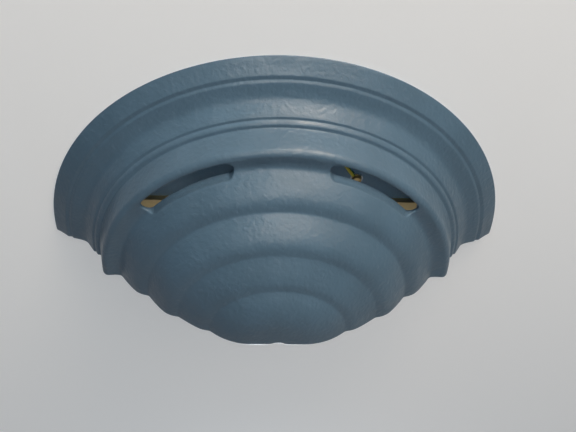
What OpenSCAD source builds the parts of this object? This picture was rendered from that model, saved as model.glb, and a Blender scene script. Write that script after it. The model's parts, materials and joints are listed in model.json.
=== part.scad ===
// Wall light with a ribbed half-dome hood, a lamp behind it and a swivelling motion sensor below.
// Every piece is drawn in the wall's own frame: x to the right, y up the wall, z out of the wall.
// on_wall() then stands it up, so the wall is the plane y = 0 and the light reaches towards -Y.

/* [Hood] */
// Radius of the hood where it meets the wall
hood_r = 150.5; // [148:0.5:190]
// Amount that the back face is moved in and back from the front face, which is the cast wall
hood_wall = 2.6; // [1.8:0.1:3.2]
// Gap between the hood's rim and the wall
rim_gap = 0.5; // [0.2:0.1:1]
// Height of the straight edge at the rim
edge_h = 0.7; // [0.6:0.1:2]
// Width of the outer bevel
bevel_w = 9; // [7:0.5:11]
// Height of the outer bevel
bevel_h = 6.4; // [5.8:0.1:7.5]
// Hollow turn of the outer bevel, in degrees
bevel_turn = 8; // [1:1:20]
// Width of the groove between the outer bevel and its bead
groove_w = 2.6; // [1:0.1:3.4]
// Height that each groove gains on its way inwards
groove_rise = 0.1; // [0:0.1:0.4]
// Width of the outer bead
outer_bead_w = 2.2; // [1.4:0.1:3]
// Height of the outer bead
outer_bead_h = 1.6; // [0.8:0.1:2.2]
// Width of the hollow's gently sloping floor
floor_w = 6.6; // [5:0.1:8]
// Height that the hollow's floor gains on its way inwards
floor_h = 2; // [1:0.1:3]
// Width of the hollow's rise
rise_w = 7.6; // [6:0.1:9]
// Height of the hollow's rise
rise_h = 9.3; // [8:0.1:10.5]
// Turn of the hollow's rise, in degrees
rise_turn = 24; // [10:1:40]
// Width of the small groove outside the inner bead
small_groove_w = 0.8; // [0.4:0.1:1.4]
// Width of the inner bead
inner_bead_w = 1.2; // [0.7:0.1:1.8]
// Height of the inner bead
inner_bead_h = 2.4; // [1.6:0.1:3.6]
// Width of the step between the inner bead and the flank
step_w = 0.5; // [0.3:0.1:1]
// Width of the steep flank
flank_w = 3; // [2:0.1:4.4]
// Height of the steep flank
flank_h = 12.4; // [10:0.1:14]
// Width of the round corner in front of the flank
corner_w = 3.2; // [2.4:0.1:4.4]
// Height of the round corner
corner_h = 2.9; // [2:0.1:4]
// Width of the flat ledge inside the corner
ledge_w = 12; // [11:0.1:13.4]
// Height that the ledge gains on its way inwards
ledge_h = 2.1; // [0.5:0.1:3]
// Turn of the ledge, in degrees
ledge_turn = 16; // [1:1:24]

/* [Ribs] */
// Width of the first rib's steep face
rib1_w = 9.2; // [8:0.1:11]
// Height of the first rib's steep face
rib1_h = 11.4; // [10:0.1:13]
// Width of the second rib's steep face
rib2_w = 9.6; // [8:0.1:11]
// Height of the second rib's steep face
rib2_h = 11.6; // [10:0.1:13]
// Width of the third rib's steep face
rib3_w = 12.4; // [10:0.1:14]
// Height of the third rib's steep face
rib3_h = 8.3; // [7:0.1:10]
// Turn of each steep face, in degrees
face_turn = 10; // [1:1:18]
// Width of the first rib's round shoulder
shoulder1_w = 10; // [8:0.1:11]
// Height of the first rib's round shoulder
shoulder1_h = 4.7; // [3.6:0.1:6]
// Width of the second rib's round shoulder
shoulder2_w = 10.4; // [8:0.1:11]
// Height of the second rib's round shoulder
shoulder2_h = 4.5; // [3.6:0.1:6]
// Width of the third rib's round shoulder
shoulder3_w = 7.6; // [6:0.1:9]
// Height of the third rib's round shoulder
shoulder3_h = 2.1; // [1.4:0.1:3]
// Turn of the first two shoulders, in degrees
shoulder_turn = 42; // [20:1:50]
// Turn of the third shoulder, in degrees
shoulder3_turn = 29; // [12:1:34]
// Radius of the flat at the tip of the nose
nose_flat_r = 16; // [8:0.5:20]
// Height of the nose above the third rib
nose_h = 9.9; // [7:0.1:14]

/* [Slots and notch] */
// Width of the two vent slots
slot_w = 9; // [6:0.5:10]
// Radius of the slots' middle line, measured from the first rib's crease
slot_offset = 2.7; // [0:0.1:4]
// Angle from upright to the centre of a slot's inner end
slot_from = 17.9; // [14:0.1:26]
// Angle from upright to the centre of a slot's outer end
slot_to = 48.5; // [40:0.1:56]
// Width of the finger notch under the nose
notch_w = 8; // [5:0.5:14]
// Depth of the finger notch
notch_h = 2; // [1:0.1:2.4]

/* [Hood fixing] */
// Distance of the hood studs in from the rim
stud_inset = 30.5; // [29.5:0.5:33]
// Angle of the two side studs above the level line
stud_angle = 12; // [9:1:20]
// Radius of a hood stud
stud_r = 2.5; // [2:0.1:3]
// Radius of the post that holds a stud
post_r = 4.5; // [4:0.1:5]
// Depth that a stud is set into its post
stud_set = 7; // [5:0.5:9]
// Radius of a socket's collar
socket_r = 5; // [4.4:0.1:6]
// Height of a socket above the backplate
socket_h = 6; // [4:0.5:6]
// Radius of a socket's flange
socket_flange_r = 7; // [6.2:0.1:9]
// Thickness of a socket's flange
socket_flange_t = 1; // [0.6:0.1:1.5]
// Radius of a socket's neck in the backplate
socket_neck_r = 4; // [3.6:0.1:4.3]
// Distance of a stud's tip in front of the backplate's rear face
stud_tip_up = 0.2; // [0:0.1:1]
// Length and width of the bevel at a stud's tip
stud_bevel = 0.7; // [0.3:0.1:1.2]

/* [Backplate] */
// Thickness of the foam gasket
gasket_t = 2; // [1:0.5:3]
// Thickness of the backplate
plate_t = 1.5; // [1:0.1:2]
// Distance of the backplate's edge in from the hood's rim
plate_inset = 11.5; // [11.5:0.5:16]
// Distance of the gasket's edge in from the backplate's edge
gasket_inset = 1; // [0:0.5:4]
// Distance between the two wall fixing holes
fixing_pitch = 88.9; // [80:0.1:98]
// Distance of the fixing holes and the cable entry below the top stud
fixing_drop = 42; // [41:0.5:46]
// Radius of a wall fixing hole
fixing_r = 2.75; // [2.2:0.05:3.5]

/* [Cable entry] */
// Radius of the bore in the cable grommet
grommet_bore_r = 4.5; // [3:0.1:5.5]
// Radius of the grommet's neck
grommet_neck_r = 7.9; // [6.5:0.1:8.5]
// Radius of the grommet's flanges
grommet_flange_r = 10; // [9.4:0.1:10.5]
// Thickness of the grommet's front flange
grommet_front_t = 2; // [1:0.1:3]
// Distance of the grommet's rear face from the wall
grommet_back_gap = 0.4; // [0.2:0.1:0.8]
// Gap between the gasket and the grommet's flange
gasket_hole_gap = 0.6; // [0.3:0.1:1.5]

/* [Crossbar] */
// Length of the crossbar beyond the foot of the lampholder's bracket
bar_margin = 15; // [11:0.5:22]
// Height of the crossbar's top edge
bar_top = 38.2; // [36:0.1:39]
// Height of the crossbar from edge to edge
bar_h = 20; // [19:0.5:22]
// Depth of the crossbar
bar_d = 4; // [3.5:0.1:4.4]
// Thickness of the crossbar's sheet
bar_t = 1.5; // [1:0.1:1.8]
// Distance of the crossbar's two screws in from the lampholder's back face
bar_screw_inset = 9.5; // [8:0.5:12]
// Radius of a crossbar screw's shank
bar_screw_r = 2; // [1.5:0.1:2.5]
// Radius of a crossbar screw's head
bar_screw_head_r = 4; // [3.4:0.1:5]
// Height of a crossbar screw's head
bar_screw_head_h = 2.4; // [1.8:0.1:2.6]

/* [Terminal block] */
// Distance between the poles of the terminal block
pole_pitch = 12; // [11:0.5:13]
// Distance between the grommet's front flange and the block
block_gap = 2; // [0.5:0.5:4]
// Length of the block along the wires
block_l = 13; // [12:0.5:15]
// Depth of the block
block_d = 14; // [12:0.5:16]
// Thickness of the block's end walls, outside the last pole
block_end = 6; // [5:0.5:7]
// Radius of a wire hole in the block
wire_hole_r = 2; // [1.8:0.1:2.4]
// Radius of a terminal screw
pole_screw_r = 1.8; // [1.4:0.1:2]
// Depth of a terminal screw's head below the block's front
pole_screw_drop = 1.5; // [0.5:0.1:3]
// Depth of the driver slot in a terminal screw
pole_slot_d = 0.8; // [0.4:0.1:1.2]
// Width of the driver slot in a terminal screw
pole_slot_w = 0.6; // [0.4:0.1:1]
// Radius of a block fixing screw's shank
block_screw_r = 1.5; // [1.2:0.1:1.7]
// Radius of a block fixing screw's head
block_screw_head_r = 2.6; // [2.2:0.1:2.8]
// Height of a block fixing screw's head
block_screw_head_h = 1.6; // [1:0.1:2.4]
// Gap around a block fixing screw's head in its recess
block_recess_gap = 0.2; // [0.1:0.05:0.3]

/* [Earth] */
// Distance of the earth screw to the right of the middle
earth_x = 50; // [48:0.5:54]
// Height of the earth screw
earth_up = 57; // [54:0.5:59]
// Radius of the earth screw's shank
earth_r = 1.9; // [1.5:0.1:2.2]
// Radius of the earth screw's head
earth_head_r = 3.4; // [3:0.1:3.8]
// Height of the earth screw's head
earth_head_h = 2.2; // [1.4:0.1:3]
// Radius of the earth lead's ring tag
earth_tag_r = 4; // [3.8:0.1:5]
// Thickness of the ring tag
earth_tag_t = 0.8; // [0.5:0.1:1.2]
// Length of the ring tag's tail from the screw's axis
earth_tail_l = 7.6; // [6:0.1:7.8]
// Width of the ring tag's tail
earth_tail_w = 2.6; // [2:0.1:3.4]
// Direction of the ring tag's tail
earth_tail_angle = 124; // [110:1:135]

/* [Lampholder] */
// Height of the lamp's axis above the hood's lower edge
lamp_up = 45; // [44:0.5:46]
// Distance of the lamp's axis out from the wall
lamp_out = 35; // [34:0.5:36]
// Distance of the lampholder's back face in from the first rib's crease
holder_inset = 44.3; // [43.2:0.1:45.2]
// Outside radius of the lampholder
holder_r = 19; // [17.5:0.5:20]
// Length of the lampholder
holder_l = 39.5; // [36:0.5:42]
// Thickness of the lampholder's base
holder_base = 9.5; // [9:0.5:11]
// Thickness of the threaded shell
shell_t = 0.6; // [0.4:0.1:0.8]
// Thickness of the bracket's sheet
bracket_t = 1.5; // [1:0.1:2]
// Width of the bracket's foot along the crossbar
bracket_foot = 18; // [15:0.5:22]
// Width of the bracket, up the wall
bracket_w = 16; // [14:0.5:17]
// Radius of the bracket's round end behind the lampholder
bracket_end_r = 16; // [14.5:0.5:18]
// Distance between the two screws that hold the lampholder
holder_screw_pitch = 20; // [18:0.5:22]
// Radius of a lampholder screw's shank
holder_screw_r = 1.5; // [1.2:0.1:1.8]
// Radius of a lampholder screw's head
holder_screw_head_r = 2.8; // [2.4:0.1:3.4]
// Height of a lampholder screw's head
holder_screw_head_h = 1.8; // [1:0.1:2.4]
// Thickness of porcelain left in front of a screw hole
holder_web = 1.5; // [1:0.1:3]
// Height of the two lead holes above and below the lamp's axis
lead_hole_rise = 4; // [3.5:0.1:5]
// Distance from the lamp's axis to the blind end of a lead hole
lead_hole_end = 11.5; // [10:0.5:13]
// Radial gap of a lead in its hole
lead_gap = 0.2; // [0.1:0.05:0.4]
// Radius of the centre contact
contact_r = 3; // [2:0.1:4]
// Height of the centre contact
contact_h = 1.6; // [1:0.1:3]
// Distance of the threaded shell's ends from the holder's floor and mouth
shell_inset = 1; // [0.5:0.1:2]
// Radius of a rivet's shank
rivet_r = 1.6; // [1.2:0.1:2]
// Radius of a rivet's head
rivet_head_r = 2.8; // [2.4:0.1:3.2]
// Height of a rivet's head
rivet_head_h = 1; // [0.6:0.1:1.4]

/* [Lamp] */
// Radius of the lamp's globe
globe_r = 22.5; // [20:0.5:23.5]
// Length of the lamp, from its contact to the end of the globe
lamp_l = 75; // [73:0.5:78]
// Thickness of the globe's shell
globe_t = 1.2; // [0.8:0.1:2]
// Length of the lamp's metal cap
cap_l = 22; // [20:0.5:24]
// Radius of the lamp's cap, a standard screw cap
cap_r = 13.2; // [12.8:0.1:13.3]
// Radius of the lamp's body where it meets the globe
collar_r = 18; // [16:0.5:19]
// Length of the straight part of the body next to the cap
lamp_neck_l = 4; // [2:0.5:6]
// Radius of the board with the light sources
source_r = 12; // [9:0.5:16]
// Thickness of the board with the light sources
source_t = 1.6; // [1:0.1:2]
// Height of the insulator at the cap's end
insulator_h = 2; // [1.5:0.1:3]
// Radius of the insulator where it meets the cap
insulator_r = 11; // [8:0.5:12.5]
// Radius of the lamp's contact where it meets the insulator
tip_r = 4.8; // [3.6:0.1:5.4]
// Height of the lamp's contact
tip_h = 1.4; // [1:0.1:2]

/* [Sensor arm] */
// Width of the sensor arm
arm_w = 18; // [16:0.5:22]
// Thickness of the sensor arm
arm_t = 1.5; // [1.2:0.1:2]
// Height of the arm's underside above the hood's lower edge
arm_up = 14; // [13.5:0.1:15]
// Height of the arm's foot on the crossbar
arm_foot = 17.5; // [15:0.5:20]
// Distance of the sensor's upright pivot out from the wall
pan_out = 58; // [56:0.5:60]
// Radius of the arm's round front end
arm_end_r = 9; // [9:0.5:11]

/* [Sensor swivel] */
// Radius of the hollow pivot pin
pan_r = 4; // [3.5:0.1:4.5]
// Radius of the wire way through the pivot pin
pan_bore_r = 2.2; // [1.8:0.1:2.4]
// Radius of the knuckle's flange
knuckle_r = 9; // [8.6:0.1:10]
// Thickness of the knuckle's flange
knuckle_t = 2.7; // [2:0.1:3]
// Radius of the ring nut on the pivot pin
pan_nut_r = 7.5; // [6.5:0.1:8.5]
// Thickness of the ring nut
pan_nut_t = 3; // [2:0.1:3.5]
// Height of the tilt axis above the hood's lower edge
tilt_up = 5; // [4.8:0.1:5.4]
// Radius of the tilt pin
tilt_r = 2; // [1.5:0.1:2.4]
// Radius of the ears and of the lug between them
ear_r = 5; // [4.5:0.1:5.2]
// Thickness of each ear
ear_t = 3; // [2.5:0.1:4]
// Thickness of the lug between the ears
lug_t = 10; // [8:0.5:10.5]
// Radius of the knurled head of the tilt screw
tilt_head_r = 5; // [4:0.1:6]
// Thickness of the tilt screw's head
tilt_head_t = 4; // [3:0.5:6]
// Number of grip grooves around the tilt screw's head
grip_grooves = 16; // [10:1:20]
// Radius of a grip groove
grip_r = 0.45; // [0.3:0.05:0.6]
// Thickness of the nut on the tilt screw
tilt_nut_t = 2.6; // [2:0.1:4]

/* [Sensor head] */
// Radius of the sensor's round housing
head_r = 21; // [20:0.5:23]
// Height of the sensor's housing
head_h = 16; // [15:0.5:18]
// Drop from the tilt axis to the housing's top
head_drop = 7; // [6.5:0.1:8]
// Wall of the sensor's housing
head_wall = 2; // [1.5:0.1:2.5]
// Width of the control box at the back of the housing
pod_w = 36; // [34:0.5:38]
// Reach of the control box behind the pivot
pod_back = 24; // [23.5:0.5:25]
// Height of the lens dome below its ring
lens_h = 9; // [7:0.5:11]
// Radius of the lens dome at its ring
lens_r = 14; // [12:0.5:14.2]
// Distance of the lens's middle in front of the pivot
lens_forward = 3.2; // [3:0.1:3.4]
// Width of the lens's flange inside the housing
lens_flange_w = 1.4; // [1:0.1:1.8]
// Width of the ring around the lens
lens_ring_w = 3; // [2.4:0.1:3.2]
// Thickness of the lens
lens_t = 1; // [0.7:0.1:1.4]
// Thickness of the lens's flange
lens_flange_t = 1.2; // [0.8:0.1:1.6]
// Thickness of the ring that holds the lens
lens_ring_t = 2; // [1.6:0.1:2.4]
// Thickness of the sensor's circuit board
board_t = 1.5; // [1:0.1:1.8]
// Gap between the housing's roof and the board
board_gap = 1.8; // [1.2:0.1:2.2]
// Radius of the round detector can
detector_r = 4.1; // [3.5:0.1:5]
// Height of the detector can
detector_h = 4.2; // [3.5:0.1:5]
// Radius of the light cell
cell_r = 2.5; // [1.8:0.1:3]
// Height of the light cell
cell_h = 2.4; // [1.6:0.1:4]
// Radius of the status light
led_r = 1.5; // [1:0.1:1.8]
// Height of the status light
led_h = 3.4; // [2.6:0.1:5]
// Distance of the light cell and the status light from the middle
cell_x = 8.5; // [7.6:0.1:9]
// Length of the relay
relay_l = 11; // [9:0.5:12]
// Width of the relay
relay_w = 8; // [6:0.5:8]
// Height of the relay and of the capacitor
relay_h = 6; // [4:0.5:8]
// Radius of the capacitor
capacitor_r = 3.4; // [2.5:0.1:3.8]

/* [Dials] */
// Distance between the dials
dial_pitch = 11; // [10:0.1:11.4]
// Radius of a dial
dial_r = 4; // [3.4:0.1:4.4]
// Height of a dial below the control box
dial_h = 3; // [2:0.1:4]
// Radius of a dial's stem
dial_stem_r = 1.5; // [1.2:0.1:2]
// Width of the finger bar across a dial
dial_bar_w = 1.6; // [1:0.1:2]

/* [Wiring] */
// Radius of a single lead
lead_r = 1.3; // [0.9:0.1:1.4]
// Radius of the sensor's cable
sensor_cable_r = 1.5; // [1.1:0.1:1.6]

/* [Clearances] */
// Gap between pieces that slide or turn against each other
move_gap = 0.3; // [0.2:0.05:0.4]
// Radial gap of a shaft in its bore
run_gap = 0.05; // [0.03:0.01:0.08]
// Radial gap of a fixed pin or neck in its hole
set_gap = 0.05; // [0.03:0.01:0.1]

/* [Hidden] */

// Sides of a full round, how far a cutter reaches past a face, and how far one solid of a piece
// reaches into the next
$fn = 96;
over = 1;
join = 0.4;

// Colours
paint_blue = [0.30, 0.41, 0.49];
plate_blue = [0.34, 0.44, 0.51];
zinc_yellow = [0.72, 0.62, 0.34];
zinc = [0.72, 0.73, 0.74];
brass = [0.78, 0.66, 0.36];
foam_black = [0.11, 0.11, 0.12];
rubber_grey = [0.20, 0.20, 0.21];
white_plastic = [0.90, 0.90, 0.87];
opal = [0.95, 0.94, 0.90];
porcelain = [0.93, 0.92, 0.88];
lens_white = [0.88, 0.89, 0.88];
board_green = [0.10, 0.36, 0.22];
lead_brown = [0.36, 0.20, 0.12];
lead_blue = [0.12, 0.28, 0.60];
lead_green = [0.45, 0.60, 0.16];
cable_white = [0.82, 0.82, 0.80];
dial_grey = [0.30, 0.31, 0.33];
led_red = [0.80, 0.10, 0.08];

// Points along an arc from a to b whose direction turns by this many degrees, without the point b.
// A positive turn bulges to the left of the way from a to b, and 0 is a straight line.
function arc(a, b, turn, steps) =
    let (c = b - a, len = norm(c), mid = (a + b) / 2, along = c / len)
    let (out = [-along[1], along[0]], half = turn / 2)
    turn == 0 ? [a] :
    let (r = len / (2 * sin(half)))
    [for (i = [0 : steps - 1])
        let (t = half * (2 * i / steps - 1))
        mid + along * r * sin(t) + out * r * (cos(t) - cos(half))];

// Turn of the arc from the rim of a domed cap to its tip
function cap_turn(r, h) = 2 * atan(h / r);

// Corners of the hood's front outline, as [radius, distance out from the wall], from the rim inwards
rim_top = [hood_r, rim_gap + edge_h];
bevel_end = rim_top + [-bevel_w, bevel_h];
outer_bead_start = bevel_end + [-groove_w, groove_rise];
outer_bead_end = outer_bead_start + [-outer_bead_w, outer_bead_h];
floor_end = outer_bead_end + [-floor_w, floor_h];
rise_end = floor_end + [-rise_w, rise_h];
inner_bead_start = rise_end + [-small_groove_w, 0];
inner_bead_end = inner_bead_start + [-inner_bead_w, inner_bead_h];
flank_start = inner_bead_end + [-step_w, groove_rise];
flank_end = flank_start + [-flank_w, flank_h];
corner_end = flank_end + [-corner_w, corner_h];
crease1 = corner_end + [-ledge_w, ledge_h];
face1_end = crease1 + [-rib1_w, rib1_h];
crease2 = face1_end + [-shoulder1_w, shoulder1_h];
face2_end = crease2 + [-rib2_w, rib2_h];
crease3 = face2_end + [-shoulder2_w, shoulder2_h];
face3_end = crease3 + [-rib3_w, rib3_h];
crease4 = face3_end + [-shoulder3_w, shoulder3_h];
nose_edge = [nose_flat_r, crease4[1] + nose_h];
nose_turn = 2 * atan(nose_h / (crease4[0] - nose_flat_r));
bead_turn = 60;
corner_turn = 60;

// The hood's front outline. It runs towards smaller radii, so a convex stretch has a negative turn.
front = concat(
    [[hood_r, rim_gap]],
    arc(rim_top, bevel_end, bevel_turn, 3),
    [bevel_end],
    arc(outer_bead_start, outer_bead_end, -bead_turn, 4),
    [outer_bead_end],
    arc(floor_end, rise_end, rise_turn, 5),
    [rise_end],
    arc(inner_bead_start, inner_bead_end, -bead_turn, 4),
    [inner_bead_end, flank_start],
    arc(flank_end, corner_end, -corner_turn, 5),
    arc(corner_end, crease1, ledge_turn, 4),
    arc(crease1, face1_end, -face_turn, 3),
    arc(face1_end, crease2, -shoulder_turn, 7),
    arc(crease2, face2_end, -face_turn, 3),
    arc(face2_end, crease3, -shoulder_turn, 7),
    arc(crease3, face3_end, -face_turn, 3),
    arc(face3_end, crease4, -shoulder3_turn, 5),
    arc(crease4, nose_edge, -nose_turn, 10),
    [nose_edge]
);

// The back face is the front face moved in and back by the wall
back = concat(
    [for (p = front) [max(p[0] - hood_wall, 0), p[1] - hood_wall]],
    [[0, nose_edge[1] - hood_wall], [0, -hood_wall], [hood_r - hood_wall, -hood_wall]]
);
notch_round = (notch_w * notch_w / 4 + notch_h * notch_h) / (2 * notch_h);

// Levels and places that follow from the sizes
plate_back = gasket_t;
plate_front = gasket_t + plate_t;
plate_r = hood_r - plate_inset;
gasket_r = plate_r - gasket_inset;
stud_ring_r = hood_r - stud_inset;
stud_places = [for (a = [90, stud_angle, 180 - stud_angle]) stud_ring_r * [cos(a), sin(a)]];
fixing_up = stud_ring_r - fixing_drop;
socket_top = plate_front + socket_h;
post_end = socket_top + move_gap;
slot_r = crease1[0] + slot_offset;
bar_front = plate_front + bar_d;
bar_mid = bar_top - bar_h / 2;
bar_bottom = bar_top - bar_h;
block_up = fixing_up + grommet_flange_r + block_gap;
block_top = block_up + block_l;
block_w = 3 * pole_pitch + 2 * block_end;
block_mid = (block_up + block_top) / 2;
block_front = plate_front + block_d;
block_seat = plate_front + block_d * 0.4;
wire_out = plate_front + block_d * 0.45;
poles = [for (i = [-1.5 : 1 : 1.5]) i * pole_pitch];
pole_screws_up = [block_up + block_l / 4, block_up + block_l * 3 / 4];
block_screws_x = [-pole_pitch, pole_pitch];

shell_r = cap_r + run_gap;
holder_face = holder_inset - crease1[0];
holder_mouth = holder_face + holder_l;
holder_floor = holder_face + holder_base;
shell_back = holder_floor + shell_inset;
shell_front = holder_mouth - 2 * shell_inset;
contact_face = holder_floor + contact_h;
lamp_tip = contact_face + move_gap;
globe_mid = lamp_tip + lamp_l - globe_r;
neck_back = sqrt(globe_r * globe_r - collar_r * collar_r);
neck_face = globe_mid - neck_back;
cap_start = lamp_tip + tip_h + insulator_h;
cap_end = cap_start + cap_l;
lead_hole_x = holder_face + holder_base / 2;
bracket_back = holder_face - bracket_t;
bracket_end = bracket_back - bracket_foot;
bracket_rivet_x = bracket_back - bracket_foot / 2;
bar_l = 2 * (bar_margin - bracket_end);
bar_screw_x = -holder_face - bar_screw_inset;
bracket_rivets_up = [bar_mid - bracket_w * 0.28, bar_mid + bracket_w * 0.28];

arm_top = arm_up + arm_t;
arm_rivet_up = arm_top + arm_foot * 0.62;
flange_top = arm_up - move_gap;
flange_bottom = flange_top - knuckle_t;
pan_nut_bottom = arm_top + move_gap;
pan_pin_top = pan_nut_bottom + pan_nut_t + 0.8;
ear_in = lug_t / 2 + move_gap;
ear_out = ear_in + ear_t;
tilt_nut_out = ear_out + tilt_nut_t;
head_top = tilt_up - head_drop;
head_bottom = head_top - head_h;
board_top = head_top - head_wall - board_gap;
board_bottom = board_top - board_t;
ring_bottom = head_bottom - lens_ring_t;
pod_front = 6;
led_forward = 3;
led_flange = 0.4;
relay_out = pan_out - 14;
capacitor_x = 7.5;
lens_out = pan_out + lens_forward;
lens_hole_r = lens_r + lens_flange_w + 2 * set_gap;
dials_x = [-dial_pitch, 0, dial_pitch];
dial_rim = 1.3;
dial_back = pod_back - dial_r - dial_rim;

// Routes of the leads, as [x, up, out] points chosen by hand from the block to where each one ends.
// The first points of each follow the block, and the last points of two follow the lampholder.
// A point between was chosen with the block's top at 103 and the lampholder's holes at -52.75. It moves
// the more with the block the higher it is, and the more with the holes the lower it is.
function between(x, up, out) = [
    x + (lead_hole_x + 52.75) * (78 - up) / 40,
    up + (block_top - 103) * (up - 40) / 50,
    out
];
live_route = [
    [poles[0], block_mid, wire_out], [poles[0], block_top + 0.5, wire_out],
    [-18.4, block_top + 4, 9.2], [-20, block_top + 6.4, 8.6], [-24, block_top + 7.6, 7.4],
    [-28, block_top + 4.6, 5.8], [-29.2, block_top - 3, 5.2], [-28.6, block_top - 13, 5.2],
    between(-26, 78, 5.2), between(-23.6, 66, 5.2), between(-22.8, 56, 5.3),
    between(-24.4, 47.6, 6.2), between(-28.4, 41.6, 8.6),
    [lead_hole_x + 17.8, 38, 9.6], [lead_hole_x + 9.8, 39, 10], [lead_hole_x + 3.8, 44, 10.6],
    [lead_hole_x, 48, 12.6], [lead_hole_x, lamp_up + lead_hole_rise, 16],
    [lead_hole_x, lamp_up + lead_hole_rise, 23]
];
neutral_route = [
    [poles[1], block_mid, wire_out], [poles[1], block_top + 0.5, wire_out],
    [-6.6, block_top + 3.8, 9.2], [-9.4, block_top + 5.6, 7], [-15, block_top + 5.6, 5.3],
    [-21, block_top + 4.4, 5.1], [-25, block_top + 1, 5.1], [-25.8, block_top - 6, 5.1],
    [-25.2, block_top - 16, 5.1], between(-22.6, 76, 5.1), between(-20.4, 66, 5.1),
    between(-19.2, 56, 5.2), between(-20, 46, 6.4), between(-24, 38, 9.2),
    [lead_hole_x + 20.8, 33.6, 9.8],
    [lead_hole_x + 11.8, 33, 10], [lead_hole_x + 4.8, 36, 10.6], [lead_hole_x, 39.6, 12.6],
    [lead_hole_x, lamp_up - lead_hole_rise, 16], [lead_hole_x, lamp_up - lead_hole_rise, 23]
];
earth_route = [
    [poles[3], block_mid, wire_out], [poles[3], block_top + 0.5, wire_out],
    [18.4, block_top + 4, 9.2], [20.4, block_top + 6.6, 8.6], [25, block_top + 8, 7.4],
    [29.6, block_top + 5.2, 5.8], [30.8, block_top - 3, 5.2], [33.6, block_top - 15, 5.2],
    [38, 76, 5.2], [43, 67.5, 5.3], [46.2, 62.6, 5.7], [47.2, 61.1, 5.7]
];
sensor_route = [
    [poles[2], block_mid, wire_out], [poles[2], block_top + 0.5, wire_out],
    [6.6, block_top + 4, 9.2], [9.4, block_top + 5.8, 7], [15, block_top + 5.6, 5.4],
    [21, block_top + 4.6, 5.2], [25.6, block_top + 1.4, 5.2], [26.8, block_top - 5, 5.2],
    [26.4, block_top - 15, 5.2], [24.6, 74, 5.2], [23.4, 60, 5.2], [23, 48, 6], [21.6, 40, 9.4],
    [19, 33, 10.6], [14.6, 26, 11.6], [8, 20.6, 13.6], [2.4, 17.6, 18], [0, 17.2, 26],
    [0, 17.2, 36], [0, 18.4, 44], [0, 21.4, 50], [0, 24.6, 54], [0, 25, 57],
    [0, 21.6, pan_out], [0, 16, pan_out]
];

// Stands its children up, from the wall's own frame into the shared frame
module on_wall() {
    rotate([90, 0, 0]) children();
}

// A round bar along z between two levels, to be added or cut away
module rod(r, from, to) {
    translate([0, 0, from]) cylinder(r = r, h = to - from);
}

// Places its children with their z axis along x
module along_x() {
    rotate([90, 0, 90]) children();
}

// A round bar up the wall between two levels
module upright_rod(r, from, to) {
    translate([0, from, 0]) rotate([-90, 0, 0]) cylinder(r = r, h = to - from);
}

// A round bar along x between two levels
module level_rod(r, from, to) {
    translate([from, 0, 0]) along_x() cylinder(r = r, h = to - from);
}

// A cone along x between two levels
module level_cone(r1, r2, from, to) {
    translate([from, 0, 0]) along_x() cylinder(r1 = r1, r2 = r2, h = to - from);
}

// Half of a disc, above the hood's lower edge
module half_disc(r, from, to) {
    translate([0, 0, from])
        intersection() {
            cylinder(r = r, h = to - from);
            translate([-2 * r, 0, -over]) cube([4 * r, 2 * r, to - from + 2 * over]);
        }
}

function unit(v) = v / norm(v);

// Three points between each pair of route points, on a smooth curve through them all
function spline(p) = concat(
    [for (i = [0 : len(p) - 2], s = [0 : 2])
        let (a = p[max(i - 1, 0)], b = p[i], c = p[i + 1], d = p[min(i + 2, len(p) - 1)], t = s / 3)
        0.5 * (2 * b + (c - a) * t + (2 * a - 5 * b + 4 * c - d) * t * t
            + (3 * b - a - 3 * c + d) * t * t * t)],
    [p[len(p) - 1]]
);

function heading(p, i) = unit(p[min(i + 1, len(p) - 1)] - p[max(i - 1, 0)]);

// One sideways direction for each point, carried along so that the tube never twists
function sideways(p, i, last) =
    i == len(p) ? [] :
    let (h = heading(p, i), s = unit(last - (last * h) * h))
    concat([s], sideways(p, i + 1, s));

// A lead: one closed tube along a route
module lead(route, r) {
    sides = 8;
    p = spline(route);
    side = sideways(p, 0, [1, 0.13, 0.07]);
    points = [for (i = [0 : len(p) - 1], k = [0 : sides - 1])
        let (a = 360 * k / sides, up = cross(heading(p, i), side[i]))
        p[i] + r * (cos(a) * side[i] + sin(a) * up)];
    last = (len(p) - 1) * sides;
    walls = [for (i = [0 : len(p) - 2], k = [0 : sides - 1])
        let (a = i * sides + k, b = i * sides + (k + 1) % sides)
        each [[a, a + sides, b], [b, a + sides, b + sides]]];
    ends = [for (k = [1 : sides - 2]) each [[0, k, k + 1], [last, last + k + 1, last + k]]];
    polyhedron(points = points, faces = concat(walls, ends), convexity = 6);
}

// Pan-headed screw or rivet along z: head from this level outwards, shank back to another level
module pan_head(head_r, head_h, shank_r, seat, tip) {
    translate([0, 0, seat]) cylinder(r1 = head_r, r2 = head_r * 0.8, h = head_h);
    translate([0, 0, tip]) cylinder(r = shank_r, h = seat - tip);
}

// Pan head with a straight driver slot
module slotted_screw(head_r, head_h, shank_r, seat, tip) {
    difference() {
        pan_head(head_r, head_h, shank_r, seat, tip);
        translate([-head_r - over, -head_r * 0.12, seat + head_h * 0.5])
            cube([2 * head_r + 2 * over, head_r * 0.24, head_h]);
    }
}

module wall_gasket() {
    color(foam_black) on_wall()
        difference() {
            half_disc(gasket_r, 0, gasket_t);
            translate([0, fixing_up, 0]) rod(grommet_flange_r + gasket_hole_gap, -over, gasket_t + over);
            for (s = [-1, 1]) {
                translate([s * fixing_pitch / 2, fixing_up, 0]) rod(fixing_r, -over, gasket_t + over);
            }
        }
}

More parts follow.
